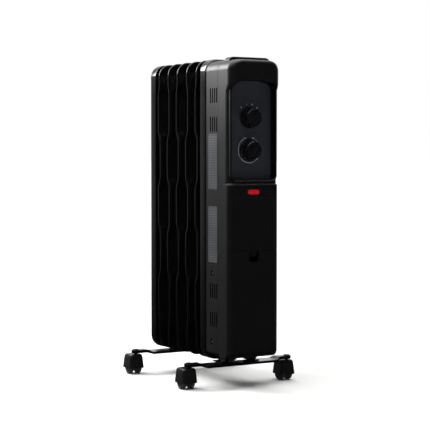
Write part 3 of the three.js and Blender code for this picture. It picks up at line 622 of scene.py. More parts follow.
@dataclass
class SubAssembly:
    """Pieces that are built together and then dressed."""

    pieces: list[Piece] = field(default_factory=list, init=False)

    def add(
        self,
        name: str,
        solid: Solid,
        finish: FinishName,
        body: str = ROOT,
        stands_for: Sequence[str] = (),
        bevel: float = 0.45,
        segments: int = 2,
    ) -> bpy.types.Object:
        """Makes a solid into a piece that moves with a body.

        Args:
            name: The piece's name.
            solid: Its shape.
            finish: Its finish.
            body: The CAD body it moves with.
            stands_for: CAD nodes that it replaces.
            bevel: Width of its broken edges, in millimetres.
            segments: Facets across a broken edge.

        Returns:
            The object.
        """
        item = solid.piece(name, bevel, segments)
        self.keep(item, finish, body)
        if stands_for:
            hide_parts(*stands_for)
        return item

    def keep(self, item: bpy.types.Object, finish: FinishName, body: str = ROOT) -> None:
        """Takes an object in as a piece of this sub-assembly.

        Args:
            item: The object.
            finish: Its finish.
            body: The CAD body it moves with.
        """
        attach(item, body)
        self.pieces.append(Piece(item, finish))
        LOG.info("%s: %s", type(self).__name__, item.name)

    def build(self) -> None:
        """Makes the pieces."""
        raise NotImplementedError

    def dress(self, materials: dict[FinishName, bpy.types.Material]) -> None:
        """Gives each piece its material.

        Args:
            materials: The material of each finish.
        """
        for piece in self.pieces:
            piece.item.data.materials.clear()
            piece.item.data.materials.append(materials[piece.finish])


@dataclass(frozen=True)
class RimShape:
    """A rounded rectangle in the plane of a fin."""

    half_width: float
    low: float
    high: float
    corner: float

    def inset(self, by: float) -> "RimShape":
        """The shape pulled in all round."""
        corner = max(self.corner - by, 1.0)
        return RimShape(self.half_width - by, self.low + by, self.high - by, corner)

    def towards(self, other: "RimShape", share: float) -> "RimShape":
        """A shape between this one and another, where a share of 1 is the other."""
        mix = [a + (b - a) * share for a, b in zip(self.values(), other.values())]
        return RimShape(*mix)

    def values(self) -> tuple[float, float, float, float]:
        """Its four numbers."""
        return (self.half_width, self.low, self.high, self.corner)

    def points(self, side_steps: int = 84, end_steps: int = 8, corner_steps: int = 8) -> np.ndarray:
        """Points round the shape, the same number whatever its size.

        Args:
            side_steps: Chords along each upright side.
            end_steps: Chords along the top and the bottom.
            corner_steps: Chords round each corner.

        Returns:
            An array of x and z.
        """
        hx, low, high, r = self.values()
        rows: list[Pair] = []
        runs = (
            (hx - r, low + r, 270, (hx, low + r), (hx, high - r), side_steps),
            (hx - r, high - r, 0, (hx - r, high), (-hx + r, high), end_steps),
            (-hx + r, high - r, 90, (-hx, high - r), (-hx, low + r), side_steps),
            (-hx + r, low + r, 180, (-hx + r, low), (hx - r, low), end_steps),
        )
        for cx, cz, start, first, last, steps in runs:
            rows += arc(cx, cz, r, start, start + 90, corner_steps)[:-1]
            for t in np.linspace(0, 1, steps + 1)[:-1]:
                rows.append((first[0] + (last[0] - first[0]) * t, first[1] + (last[1] - first[1]) * t))
        return np.array(rows)


@dataclass
class FinStack(SubAssembly):
    """The seven pressed steel fins, the hubs between them and the filler plug."""

    count: int = 7
    pitch: float = 37.4
    rear_face: float = 159.5
    skin: float = 1.9
    outline: RimShape = RimShape(PLACE.half_width, PLACE.fin_bottom, 621.7, 24.0)
    chamber: RimShape = RimShape(31.0, 64.6, 604.7, 26.0)
    chamber_half: float = 6.5
    web_half: float = 0.9
    hem: float = 2.5
    wave: float = 4.0
    first_step: float = 107.1
    step_pitch: float = 92.3
    steps: int = 6
    ramp: float = 18.0
    hub_radius: float = 20.0
    hub_heights: Pair = PLACE.hub_heights
    pan_depth: float = 24.0
    plug_radius: float = 8.0

    def plane(self, number: int) -> float:
        """Y of a fin's middle plane, where fin 1 is the rear one."""
        return self.rear_face - self.skin - (number - 1) * self.pitch

    def wave_at(self, height: np.ndarray) -> np.ndarray:
        """How far a fin's edge is stepped aside at a height.

        Args:
            height: Z of the points.

        Returns:
            The offset at each point.
        """
        offset = np.zeros_like(height)
        before = 0.0
        for step in range(self.steps):
            last = step == self.steps - 1
            after = 0.0 if last else (-1.0 if step % 2 else 1.0) * self.wave
            z = self.first_step + step * self.step_pitch
            offset += (after - before) * smoothstep(height, z - self.ramp / 2, z + self.ramp / 2)
            before = after
        return offset

    def middle_fin(self, number: int) -> Solid:
        """A fin with a rolled, stepped edge round a flat web and the pressed oil chamber.

        Args:
            number: Which fin.

        Returns:
            The solid.
        """
        direction = -1.0 if number % 2 else 1.0
        web = self.outline.inset(2 * self.hem + 0.4)
        half = [
            (self.chamber.inset(9), self.chamber_half, 0.0),
            (self.chamber.inset(4), self.chamber_half - 0.2, 0.0),
            (self.chamber.inset(1.5), self.chamber_half - 1.2, 0.0),
            (self.chamber, self.chamber_half - 3.2, 0.0),
            (self.chamber.inset(-1.2), self.web_half + 0.7, 0.0),
            (self.chamber.inset(-3), self.web_half, 0.05),
            (self.chamber.towards(web, 0.45), self.web_half, 0.35),
            (self.chamber.towards(web, 0.75), self.web_half, 0.8),
            (web, self.web_half, 1.0),
        ]
        for angle in (40, 65, 90, 115, 140, 165):
            turn = math.radians(angle)
            inset = self.hem * (1 + math.cos(turn))
            half.append((self.outline.inset(inset), self.hem * math.sin(turn), 1.0))
        profile = [(s, -d, w) for s, d, w in half] + [(s, d, w) for s, d, w in reversed(half)]
        rings = []
        for shape, distance, weight in profile:
            flat = shape.points()
            y = self.plane(number) + distance + direction * weight * self.wave_at(flat[:, 1])
            rings.append(np.column_stack([flat[:, 0], y, flat[:, 1]]))
        return Solid.loft(rings)

    def end_fin(self, number: int) -> Solid:
        """A fin whose rim is folded in towards the stack to make a shallow pan.

        Args:
            number: Which fin.

        Returns:
            The solid.
        """
        inward = -1.0 if number == 1 else 1.0
        face = self.plane(number) - inward * self.skin
        rim, oil, deep = self.outline, self.chamber, self.pan_depth
        profile = [
            (oil.inset(9), 10.4), (oil.inset(4), 10.2), (oil.inset(1.5), 9.2), (oil, 7.0),
            (oil.inset(-1.5), 3.4), (oil.inset(-4), 2.6),
            (rim.inset(7), 2.6), (rim.inset(4), 3.0), (rim.inset(2.8), 4.4),
            (rim.inset(2.0), 7.0), (rim.inset(2.0), deep - 4.0), (rim.inset(3.2), deep - 3.2),
            (rim.inset(3.6), deep - 1.6), (rim.inset(3.0), deep - 0.4), (rim.inset(1.8), deep),
            (rim.inset(0.6), deep - 0.5), (rim, deep - 1.8), (rim, 6.0),
            (rim.inset(0.5), 3.4), (rim.inset(1.6), 1.6), (rim.inset(3.4), 0.5), (rim.inset(6), 0.0),
            (oil.inset(-9), 0.0), (oil.inset(-7), 0.35), (oil.inset(-5.5), 1.2), (oil.inset(-3.5), 1.5),
            (oil.inset(-1.5), 1.2), (oil.inset(0), 0.35), (oil.inset(2), 0.0), (oil.inset(9), 0.0),
        ]
        rings = []
        for shape, distance in profile:
            flat = shape.points(24, 8, 8)
            y = np.full(len(flat), face + inward * distance)
            rings.append(np.column_stack([flat[:, 0], y, flat[:, 1]]))
        pan = Solid.loft(rings)
        if number != 1:
            return pan
        dish = [
            (15.5, face + 1), (15.0, face - 0.2), (13.0, face - 1.6), (12.2, face - 2.0), (0.05, face - 2.0),
        ]
        return pan.cut(*[Solid.lathe(Axis.Y, (0.0, z), dish) for z in self.hub_heights])

    def hub(self, number: int, height: float) -> Solid:
        """The neck between a fin and the next, with the ring of its weld.

        Args:
            number: The fin at its rear end.
            height: Z of its axis.

        Returns:
            The solid.
        """
        rear, front = self.plane(number), self.plane(number + 1)
        middle, r = (rear + front) / 2, self.hub_radius
        profile = [
            (r + 7, rear - 5.6), (r + 4, rear - 6.6), (r + 1.4, rear - 8.6), (r, rear - 11.5),
            (r, middle + 1.6), (r + 0.9, middle + 1.0), (r + 1.1, middle),
            (r + 0.9, middle - 1.0), (r, middle - 1.6),
            (r, front + 11.5), (r + 1.4, front + 8.6), (r + 4, front + 6.6), (r + 7, front + 5.6),
        ]
        return Solid.lathe(Axis.Y, (0.0, height), profile, 40)

    def plug(self) -> Solid:
        """The hexagon head of the filler plug, with its corners turned off.

        Returns:
            The solid.
        """
        seat, r = self.rear_face - 1.7, self.plug_radius
        centre = (0.0, self.hub_heights[1])
        hexagon = Solid.prism(Axis.Y, arc(*centre, r, 0, 300, 5), seat, seat + 1.5)
        cap = [(r + 1, seat - 1), (r + 1, seat + 0.6), (r - 1.1, seat + 1.5), (0.05, seat + 1.5)]
        socket = Solid.rod(Axis.Y, centre, 2.4, seat + 0.7, seat + 3, 6)
        return hexagon.common(Solid.lathe(Axis.Y, centre, cap)).cut(socket)

    def build(self) -> None:
        """Makes the fins, hubs and plug."""
        for number in range(1, self.count + 1):
            node = {1: "fin_1_rear", self.count: "fin_7_front"}.get(number, f"fin_{number}")
            ends = number in (1, self.count)
            shape = self.end_fin(number) if ends else self.middle_fin(number)
            self.add(f"pressed_{node}", shape, FinishName.ENAMEL, stands_for=[node], bevel=0)
            if number < self.count:
                for label, height in zip(("lower", "upper"), self.hub_heights):
                    self.add(f"hub_{label}_{number}", self.hub(number, height), FinishName.ENAMEL, bevel=0)
        self.add("filler_plug", self.plug(), FinishName.ZINC, stands_for=["oil_fill_plug"], bevel=0.15)


@dataclass
class ControlHousing(SubAssembly):
    """The black housing on the front: shell, cover, control panel, door, grip and small trim."""

    half_width: float = PLACE.half_width
    bottom: float = 58.2
    shell_bottom: float = 65.0
    top: float = 616.5
    wall: float = 2.5
    back: float = PLACE.housing_back
    brow_face: float = -159.5
    bezel_face: float = -149.0
    lower_face: float = -151.5
    top_corner: float = 20.0
    brow_radius: float = 8.0
    bottom_radius: float = 13.3
    side_radius: float = 2.0
    plan_radii: Triple = (9.5, 12.0, 16.0)
    cover_bottom: float = 384.0
    cover_seam: float = -111.5
    cover_corner: float = 22.0
    door_top: float = 260.0
    door_seam: float = -112.0
    door_heel: float = 12.0
    door_corner: float = 28.0
    brow_low: float = 571.0
    brow_step: float = 550.0
    panel_face: float = PLACE.panel_face
    recess_return: float = 2.5
    recess_half: float = 48.0
    recess_z: Pair = (392.0, 578.0)
    recess_foot: float = 9.0
    recess_head: float = 16.0
    recess_arch: float = 4.0
    recess_lean: float = 70.0
    collar_radius: float = 22.4
    shaft_hole: float = 3.6
    band: tuple[float, ...] = (-46.0, 46.0, 359.5, 381.5)
    band_depth: float = 1.6
    tab_half: float = 8.0
    hinge_z: float = 71.5
    hinge_y: float = -138.2
    hinge_bore: float = 2.3
    lug_width: float = 7.0
    lug_radius: float = 5.0
    door_lug_x: float = 42.0
    tray_lug_x: float = 33.0
    tray_half: float = 50.4
    tray_y: Pair = (-146.5, -112.0)
    tray_z: Pair = (81.8, 252.0)
    tray_wall: float = 2.0
    hook_heights: Pair = (122.0, 212.0)
    rib_heights: Triple = (167.0, 98.0, 236.0)
    gland_place: Pair = (-34.0, 100.0)
    vent_heights: tuple[float, ...] = (536.3, 482.5, 168.0, 113.4)
    vent_height: float = 28.6
    vent_width: float = 3.2
    vent_places: tuple[float, ...] = (-106.9, -99.4, -91.9, -84.4)
    screw_places: tuple[Pair, ...] = ((-89.5, 213.0), (-87.5, 83.0))
    screw_depth: float = 1.7
    label_y: Pair = (-109.0, -76.5)
    label_heights: tuple[Pair, ...] = ((375.0, 478.6), (237.0, 342.0))
    knob_heights: Pair = (PLACE.selector_z, PLACE.thermostat_z)
    grip_y: Pair = (-135.5, -117.5)
    grip_half: float = 46.0
    grip_top: float = 622.0
    pocket_y: Pair = (-137.5, -76.0)
    pocket_half: float = 36.0
    pocket_floor: float = 592.0
    pocket_corner: float = 8.0

    def front_line(self) -> tuple[np.ndarray, np.ndarray]:
        """Heights and Y of the front between its two rounded ends, from low to high.

        Returns:
            The heights, and the Y at each of them.
        """
        brow, bezel = self.brow_face, self.bezel_face
        middle = (self.brow_low + self.brow_step) / 2 - 2
        upper = curve((brow, self.brow_low + 3), (brow, self.brow_low - 5), (bezel - 2, middle))
        lower = curve((bezel - 2, middle), (bezel, self.brow_step + 4), (bezel, self.brow_step - 6))
        points = [*upper, *lower[1:], (bezel, self.cover_bottom + 2)]
        points += [(self.lower_face, z) for z in (self.cover_bottom - 1, self.bottom + self.bottom_radius)]
        ys, zs = zip(*reversed(points))
        return np.array(zs), np.array(ys)

    def plan_corner(self, z: float) -> float:
        """Radius of the upright front corners at a height.

        Args:
            z: The height.

        Returns:
            The radius.
        """
        lower, bezel, brow = self.plan_radii
        over = float(smoothstep(z, self.cover_bottom - 1.5, self.cover_bottom + 1))
        above = float(smoothstep(z, self.brow_step, self.brow_low))
        return lower + (bezel - lower) * over + (brow - bezel) * above

    def block(self, inset: float) -> Solid:
        """The whole outer form of the housing, as one smooth body.

        Args:
            inset: How far it is pulled in. Any inset also runs it out through the open back.

        Returns:
            The solid.
        """
        heights, fronts = self.front_line()
        low = self.bottom + inset
        low_r, brow_r = self.bottom_radius - inset, self.brow_radius - inset
        top_r, side_r = self.top_corner - inset, max(self.side_radius - inset, 0.05)
        levels = [low + low_r * (1 - math.cos(math.radians(a))) for a in range(0, 91, 10)]
        levels += [low + side_r * share for share in (0.3, 0.7)]
        levels += [z for z in heights if z > low + low_r]
        levels += [self.top - self.top_corner + top_r * math.sin(math.radians(a)) for a in range(0, 91, 6)]
        levels = sorted({round(z, 4) for z in levels})
        back = self.back + (1.0 if inset > 0 else 0.0)
        rings = []
        for z in levels:
            front = float(np.interp(z, heights, fronts)) + inset
            if z > self.top - self.brow_radius:
                rise = min(z - (self.top - self.brow_radius), brow_r)
                front = self.brow_face + self.brow_radius - math.sqrt(max(brow_r**2 - rise**2, 0.0))
            if z < self.bottom + self.bottom_radius:
                drop = min(self.bottom + self.bottom_radius - z, low_r)
                front = self.lower_face + self.bottom_radius - math.sqrt(max(low_r**2 - drop**2, 0.0))
            hx = self.half_width - inset
            if z > self.top - self.top_corner:
                rise = min(z - (self.top - self.top_corner), top_r)
                hx = self.half_width - self.top_corner + math.sqrt(max(top_r**2 - rise**2, 0.0))
            if z < low + side_r:
                drop = low + side_r - z
                hx = self.half_width - inset - side_r + math.sqrt(max(side_r**2 - drop**2, 0.0))
            corner = self.plan_corner(z) - inset
            rings.append([(x, y, z) for x, y in rounded(-hx, hx, front, back, (corner, corner, 0, 0), 10)])
        return Solid.loft(rings)

    def skin(self) -> Solid:
        """The housing's outer wall, open at the back."""
        return self.block(0).cut(self.block(self.wall))

    def cover_region(self, grow: float) -> Solid:
        """Room of the upper cover: in front of the side seam and above its lower edge.

        Args:
            grow: How far it reaches past the seam.

        Returns:
            The solid.
        """
        ends = (self.brow_face - 5, self.cover_seam + grow, self.cover_bottom - grow, self.top + 40)
        return Solid.prism(Axis.X, rounded(*ends, (0, self.cover_corner, 0, 0), 12), -REACH, REACH)

    def door_region(self, grow: float, heel: float = 0.0) -> Solid:
        """Room of the lower door.

        Args:
            grow: How far it reaches past its seams.
            heel: Radius of its lower rear corner, seen from the side.

        Returns:
            The solid.
        """
        ends = (self.brow_face - 5, self.door_seam + grow, self.bottom - 1, self.door_top + grow)
        return Solid.prism(Axis.X, rounded(*ends, (0, heel, self.door_corner, 0), 14), -REACH, REACH)

    def recess_outline(self, grow: float) -> list[Pair]:
        """Front view of the control recess, with its arched top.

        Args:
            grow: How far it is pushed out.

        Returns:
            The outline.
        """
        x, low, top = self.recess_half + grow, self.recess_z[0] - grow, self.recess_z[1] + grow
        foot, head = self.recess_foot + grow, self.recess_head + grow
        arch, lean = self.recess_arch, math.radians(self.recess_lean)
        shoulder = top - arch - head * math.sin(lean)
        right = arc(x - head, shoulder, head, 0, math.degrees(lean), 10)
        control = (right[-1][0] - arch * math.tan(lean), top)
        peak = curve(right[-1], control, (0, top), 12)
        half = [*arc(x - foot, low + foot, foot, -90, 0, 8), *right, *peak[1:]]
        return half + mirrored(half[:-1])

    def lip(self) -> Solid:
        """A half-round bead that runs round the mouth of the control recess.

        Returns:
            The solid.
        """
        rows = (
            (3.8, 6.0), (3.8, 0.4), (3.4, -0.8), (2.7, -1.6), (1.9, -1.9), (1.1, -1.6), (0.4, -0.8),
            (0.1, 0.4),
        )
        rings = [[(x, self.bezel_face + y, z) for x, z in self.recess_outline(grow)] for grow, y in rows]
        return Solid.loft(rings).cut(Solid.prism(Axis.Y, self.recess_outline(0), AHEAD, self.panel_face))

    def vents(self) -> list[Solid]:
        """Cutters of the narrow round-ended vent slots through both sides.

        Returns:
            The cutters.
        """
        cutters = []
        half = self.vent_height / 2
        for z in self.vent_heights:
            for y in self.vent_places:
                slot = pill(half, self.vent_width / 2, z + half, y, 6)
                cutters.append(Solid.prism(Axis.X, [(b, a) for a, b in slot], -REACH, REACH))
        return cutters

    def screw_pockets(self) -> list[Solid]:
        """Cutters of the teardrop pockets that the side screws sit in.

        Returns:
            The cutters.
        """
        cutters = []
        for y, z in self.screw_places:
            tip = curve((y + 2.4, z + 6.5), (y, z + 11), (y - 2.4, z + 6.5), 6)
            drop = arc(y, z, 4.4, -210, 30, 16) + tip
            for side in SIDES.values():
                ends = (side * (self.half_width - self.screw_depth), side * (self.half_width + 2))
                cutters.append(Solid.prism(Axis.X, drop, *sorted(ends)))
        return cutters

    def pocket(self, inset: float) -> Solid:
        """Block of the finger pocket in the top.

        Args:
            inset: How far it is pulled in. A positive inset leaves it open at the top.

        Returns:
            The solid.
        """
        x, corner = self.pocket_half - inset, self.pocket_corner - inset
        front, back = self.pocket_y
        outline = rounded(-x, x, front + inset, back - inset, [corner] * 4, 8)
        high = self.top + 20 if inset > 0 else self.top
        return Solid.prism(Axis.Z, outline, self.pocket_floor + inset, high)

    def shell(self) -> Solid:
        """The main shell, with its lamp band, vents and the tab over the door.

        Returns:
            The solid.
        """
        inner = self.lower_face + self.wall
        band_face = self.lower_face + self.band_depth
        band = Solid.prism(Axis.Y, rounded(*self.band, [2] * 4, 5), AHEAD, band_face)
        backing = Solid.block((-49, 49), (inner - 0.5, inner + 1.5), (356.5, 382.0))
        levels = (self.shell_bottom, self.shell_bottom + self.wall)
        front_floor = Solid.block((-52.6, 52.6), (-124.6, self.door_seam + 1), levels)
        across = (-REACH, REACH)
        rear_floor = Solid.block(across, (self.door_seam, self.back), levels).common(self.block(0))
        underside = Solid.block(across, (AHEAD, 0), (0, self.shell_bottom))
        tab_x, high = (-self.tab_half, self.tab_half), self.door_top + 8
        tab = Solid.block(tab_x, (inner + GAP, inner + GAP + 2), (self.door_top - 10.5, high))
        root = Solid.block(tab_x, (inner - 1, inner + GAP + 2), (self.door_top + 4, high))
        walls = self.skin().cut(self.cover_region(0), self.door_region(0), underside)
        lamp_hole = Solid.prism(Axis.Y, PLACE.lens_outline(GAP), AHEAD, inner + 10)
        body = walls.join(backing, front_floor, rear_floor, tab, root)
        return body.cut(band, lamp_hole, self.pocket(-GAP), *self.vents(), *self.screw_pockets())

    def cover(self) -> Solid:
        """The upper cover, with the return wall round the control recess.

        Returns:
            The solid.
        """
        depth = self.panel_face + self.recess_return
        region = self.cover_region(-GAP)
        wall = Solid.prism(Axis.Y, self.recess_outline(self.recess_return), AHEAD, depth)
        ring = wall.common(self.block(0), region)
        opening = Solid.prism(Axis.Y, self.recess_outline(0), AHEAD, depth + 5)
        return self.skin().common(region).join(ring).cut(opening, self.pocket(-GAP))

    def panel(self) -> Solid:
        """The control panel, with a low collar round each shaft.

        Returns:
            The solid.
        """
        face, r = self.panel_face, self.collar_radius
        plate = Solid.prism(Axis.Y, self.recess_outline(-GAP), face, face + self.recess_return)
        rows = ((0.0, 0.5), (0.0, -0.25), (0.8, -0.5), (1.5, -0.3), (1.8, 0.5))
        collar = [(r - inset, face + proud) for inset, proud in rows]
        rings = [Solid.lathe(Axis.Y, (0.0, z), collar, 72) for z in self.knob_heights]
        ends = (face - 5, face + 10)
        holes = [Solid.rod(Axis.Y, (0.0, z), self.shaft_hole, *ends) for z in self.knob_heights]
        return plate.join(*rings).cut(*holes)

    def lugs(self, x: float, y: Pair, z: Pair) -> list[Solid]:
        """The two hinge lugs of a part, each a block with a round eye.

        Args:
            x: Distance of each from the middle.
            y, z: Extent of the blocks.

        Returns:
            The blocks and eyes.
        """
        parts = []
        for side in SIDES.values():
            low = side * x - self.lug_width / 2
            high = low + self.lug_width
            parts.append(Solid.block((low, high), y, z))
            parts.append(Solid.rod(Axis.X, (self.hinge_y, self.hinge_z), self.lug_radius, low, high))
        return parts

    def door(self) -> Solid:
        """The lower door, hinged at its foot, with a finger notch at the top.

        Returns:
            The solid.
        """
        y, z = self.hinge_y, self.hinge_z
        x = self.half_width
        front = self.skin().common(self.door_region(-GAP, self.door_heel))
        floor = Solid.block((-x + self.wall, x - self.wall), (y, 0), (0, z))
        reach = self.door_seam - GAP - y
        wheel = Solid.rod(Axis.X, (y, z), reach - 0.1, -x - 1, x + 1, 96)
        heel = Solid.block((-REACH, REACH), (y, y + 60), (0, z)).cut(wheel)
        mouth = rounded(-10.5, 10.5, self.door_top - 21, self.door_top + 4, (6, 6, 0, 0), 8)
        notch = Solid.prism(Axis.Y, mouth, AHEAD, y)
        lugs = self.lugs(self.door_lug_x, (self.lower_face + 1, y), (z - 3, z + 3))
        bore = Solid.rod(Axis.X, (y, z), self.hinge_bore, -x + 4, x - 4)
        return front.cut(floor, heel, notch).join(*lugs).cut(bore)

    def tray(self) -> Solid:
        """The cord tray behind the door, with its two T-shaped hooks and hinge lugs.

        Returns:
            The solid.
        """
        (front, back), (low, high), x, t = self.tray_y, self.tray_z, self.tray_half, self.tray_wall
        hinge = (self.hinge_y, self.hinge_z)
        shell = Solid.prism(Axis.Y, rounded(-x, x, low, high, [6] * 4, 6), front, back)
        inside = rounded(-x + t, x - t, low + t, high - t, [4] * 4, 6)
        hollow = Solid.prism(Axis.Y, inside, front - 1, back - t)
        parts = []
        for z in self.hook_heights:
            parts.append(Solid.prism(Axis.Y, pill(5, 4, 0, z, 12), front + 8, back - 1))
            bar = rounded(-16, 16, z - 5, z + 5, [4] * 4, 6)
            parts.append(Solid.prism(Axis.Y, bar, front + 8, front + 11))
        parts += self.lugs(self.tray_lug_x, (self.hinge_y - 3, self.hinge_y + 3), (self.hinge_z, low + 2.7))
        for z in self.rib_heights:
            parts.append(Solid.block((-x + 1, x - 1), (back - 3, back - 1), (z, z + 1.2)))
        bore = Solid.rod(Axis.X, hinge, self.hinge_bore, -REACH, REACH)
        gland = Solid.rod(Axis.Y, self.gland_place, 5.8, back - 10, back + 5)
        return shell.cut(hollow).join(*parts).cut(bore, gland)

    def grip(self) -> Solid:
        """The low grip bar over the finger pocket.

        Returns:
            The solid.
        """
        x, top = self.grip_half, self.grip_top
        right = curve((x - 12, top), (x - 2, top), (x, self.top - 4.6), 10)
        outline = [*mirrored(right), *right, (x - 9, top - 6.4), (-x + 9, top - 6.4)]
        return Solid.prism(Axis.Y, outline, *self.grip_y).cut(self.block(-GAP))

    def screw(self, side: float, y: float, z: float) -> Solid:
        """A pan head screw with a cross recess, seen from the side.

        Args:
            side: -1 for the left side and 1 for the right.
            y, z: Its place.

        Returns:
            The solid.
        """
        base = self.half_width - self.screw_depth
        rows = ((3.4, 0.0), (3.4, 0.5), (3.0, 1.0), (1.8, 1.35), (0.05, 1.45))
        head = Solid.lathe(Axis.X, (y, z), [(r, base + proud) for r, proud in rows], 32)
        slots = []
        for a, b in ((2.0, 0.4), (0.4, 2.0)):
            slots.append(Solid.block((base + 0.7, base + 3), (y - a, y + a), (z - b, z + b)))
        return head.cut(*slots).moved((0, 0, 0), (side, 1, 1))

    def build(self) -> None:
        """Makes the housing's pieces."""
        self.add("housing_shell", self.shell(), FinishName.HOUSING, stands_for=["main_shell"])
        self.add("housing_cover", self.cover(), FinishName.HOUSING, stands_for=["upper_cover"])
        self.add("recess_lip", self.lip(), FinishName.HOUSING, bevel=0)
        self.add("panel_plate", self.panel(), FinishName.PANEL, stands_for=["control_panel"], bevel=0.2)
        self.add("door_leaf", self.door(), FinishName.HOUSING, "door", ["lower_door"])
        self.add("tray_moulding", self.tray(), FinishName.INNER, stands_for=["cord_tray"])
        self.add("grip_bar", self.grip(), FinishName.HANDLE, stands_for=["top_handle"], bevel=1.2, segments=3)
        pocket = self.pocket(0).cut(self.pocket(2.0))
        self.add("finger_pocket", pocket, FinishName.INNER, stands_for=["handle_pocket"])
        for label, side in SIDES.items():
            for index, (y, z) in enumerate(self.screw_places):
                name = f"screw_{label}_{index + 1}"
                self.add(name, self.screw(side, y, z), FinishName.ENAMEL, bevel=0.1)
        for index, (low, high) in enumerate(self.label_heights):
            outline = rounded(*self.label_y, low, high, [1.5] * 4, 4)
            foil = Solid.prism(Axis.X, outline, -self.half_width - 0.12, -self.half_width + 0.2)
            self.add(f"blank_label_{index + 1}", foil, FinishName.FOIL, bevel=0)


@dataclass
class Controls(SubAssembly):
    """The two knobs, their printed marks and the indicator lens."""

    panel_face: float = PLACE.panel_face
    height: float = 20.0
    base_radius: float = 20.0
    face_radius: float = 15.8
    ribs: int = 24
    rib_depth: float = 0.55
    selector_z: float = PLACE.selector_z
    thermostat_z: float = PLACE.thermostat_z
    mark_radius: float = 25.6
    mark_size: float = 4.4
    mark_angles: tuple[tuple[str, float], ...] = (("0", -42.7), ("I", -13.5), ("II", 14.4), ("III", 43.0))
    scale_radius: float = 24.0
    scale_width: float = 0.5
    scale_angles: Pair = (123.0, 417.0)
    limit_size: float = 3.2
    limit_places: tuple[tuple[str, float], ...] = (("MIN", -9.0), ("MAX", 9.0))
    limit_rise: float = 22.2
    lens_base: float = -149.9

    def knob(self, z: float) -> Solid:
        """A tapered knob with a ribbed side and a smooth, slightly dished face.

        Args:
            z: Height of its axis.

        Returns:
            The solid.
        """
        back, front = self.panel_face - 0.6, self.panel_face - self.height
        base, face = self.base_radius, self.face_radius
        rows = [
            (base, back, 0.0), (base, back - 1.6, 0.0), (base - 0.5, back - 2.2, 0.6),
            (base - 0.8, back - 3.2, 1.0), (face + 1.0, front + 4.0, 1.0), (face + 0.5, front + 2.0, 0.7),
            (face + 0.1, front + 1.1, 0.0), (face - 0.5, front + 0.4, 0.0), (face - 1.4, front + 0.05, 0.0),
            (face - 2.4, front, 0.0), (face - 3.4, front + 0.35, 0.0), (face - 6.0, front + 0.7, 0.0),
            (1.0, front + 0.9, 0.0),
        ]
        turns = np.linspace(0, 2 * math.pi, self.ribs * 8, endpoint=False)
        rings = []
        for radius, y, depth in rows:
            r = radius + self.rib_depth * depth * (np.abs(np.cos(turns * self.ribs / 2)) * 2 - 1)
            rings.append(np.column_stack([r * np.cos(turns), np.full_like(turns, y), z + r * np.sin(turns)]))
        return Solid.loft(rings)

    def lens(self) -> Solid:
        """The indicator lens: a long pill with a softly domed face.

        Returns:
            The solid.
        """
        rows = ((0.0, 3.0), (0.0, -0.35), (0.25, -0.75), (0.8, -0.98), (1.8, -1.08), (3.2, -1.1))
        rings = []
        for inset, proud in rows:
            rings.append([(x, self.lens_base + proud, z) for x, z in PLACE.lens_outline(-inset)])
        return Solid.loft(rings)

    def scale_ring(self) -> Solid:
        """The thin printed arc round the thermostat knob.

        Returns:
            The solid.
        """
        (start, end), half = self.scale_angles, self.scale_width / 2
        outer = arc(0, self.thermostat_z, self.scale_radius + half, start, end, 72)
        inner = arc(0, self.thermostat_z, self.scale_radius - half, end, start, 72)
        return Solid.prism(Axis.Y, outer + inner, self.panel_face - 0.06, self.panel_face + 0.1)

    def mark(self, name: str, text: str, size: float, x: float, z: float, turn: float = 0.0) -> None:
        """Prints a generic dial mark on the panel.

        Args:
            name: The piece's name.
            text: A number or a plain word.
            size: Letter height, in millimetres.
            x, z: Its centre.
            turn: Angle it leans, in degrees.
        """
        data = bpy.data.curves.new(name, "FONT")
        data.body, data.size = text, size * MM
        data.align_x, data.align_y = "CENTER", "CENTER"
        data.extrude = 0.05 * MM
        data.offset = 0.012 * size * MM
        source = bpy.data.objects.new(name + "_text", data)
        bpy.context.scene.collection.objects.link(source)
        graph = bpy.context.evaluated_depsgraph_get()
        mesh = bpy.data.meshes.new_from_object(source.evaluated_get(graph))
        bpy.data.objects.remove(source)
        stand = Matrix.Rotation(math.radians(90), 4, "X") @ Matrix.Rotation(math.radians(turn), 4, "Z")
        place = Matrix.Translation(Vector((x, self.panel_face - 0.02, z)) * MM)
        mesh.transform(place @ stand)
        item = bpy.data.objects.new(name, mesh)
        bpy.context.scene.collection.objects.link(item)
        self.keep(item, FinishName.INK)

    def build(self) -> None:
        """Makes the knobs, the marks and the lens."""
        for body, z in (("selector", self.selector_z), ("thermostat", self.thermostat_z)):
            self.add(f"{body}_grip", self.knob(z), FinishName.KNOB, body, [f"{body}_knob"], bevel=0)
            face = self.panel_face - self.height
            line = Solid.block((-0.7, 0.7), (face - 0.25, face + 1.0), (z + 5.5, z + 13.4), 0.5)
            self.add(f"{body}_pointer", line, FinishName.KNOB, body, bevel=0.1)
        self.add("scale_ring", self.scale_ring(), FinishName.INK, bevel=0)
        for index, (text, angle) in enumerate(self.mark_angles):
            turn = math.radians(angle)
            x = self.mark_radius * math.sin(turn)
            z = self.selector_z + self.mark_radius * math.cos(turn)
            self.mark(f"selector_mark_{index}", text, self.mark_size, x, z, -angle)
        for text, x in self.limit_places:
            self.mark(f"scale_{text.lower()}", text, self.limit_size, x, self.thermostat_z + self.limit_rise)
        self.add("lamp_lens", self.lens(), FinishName.LENS, stands_for=["indicator_lens"], bevel=0)


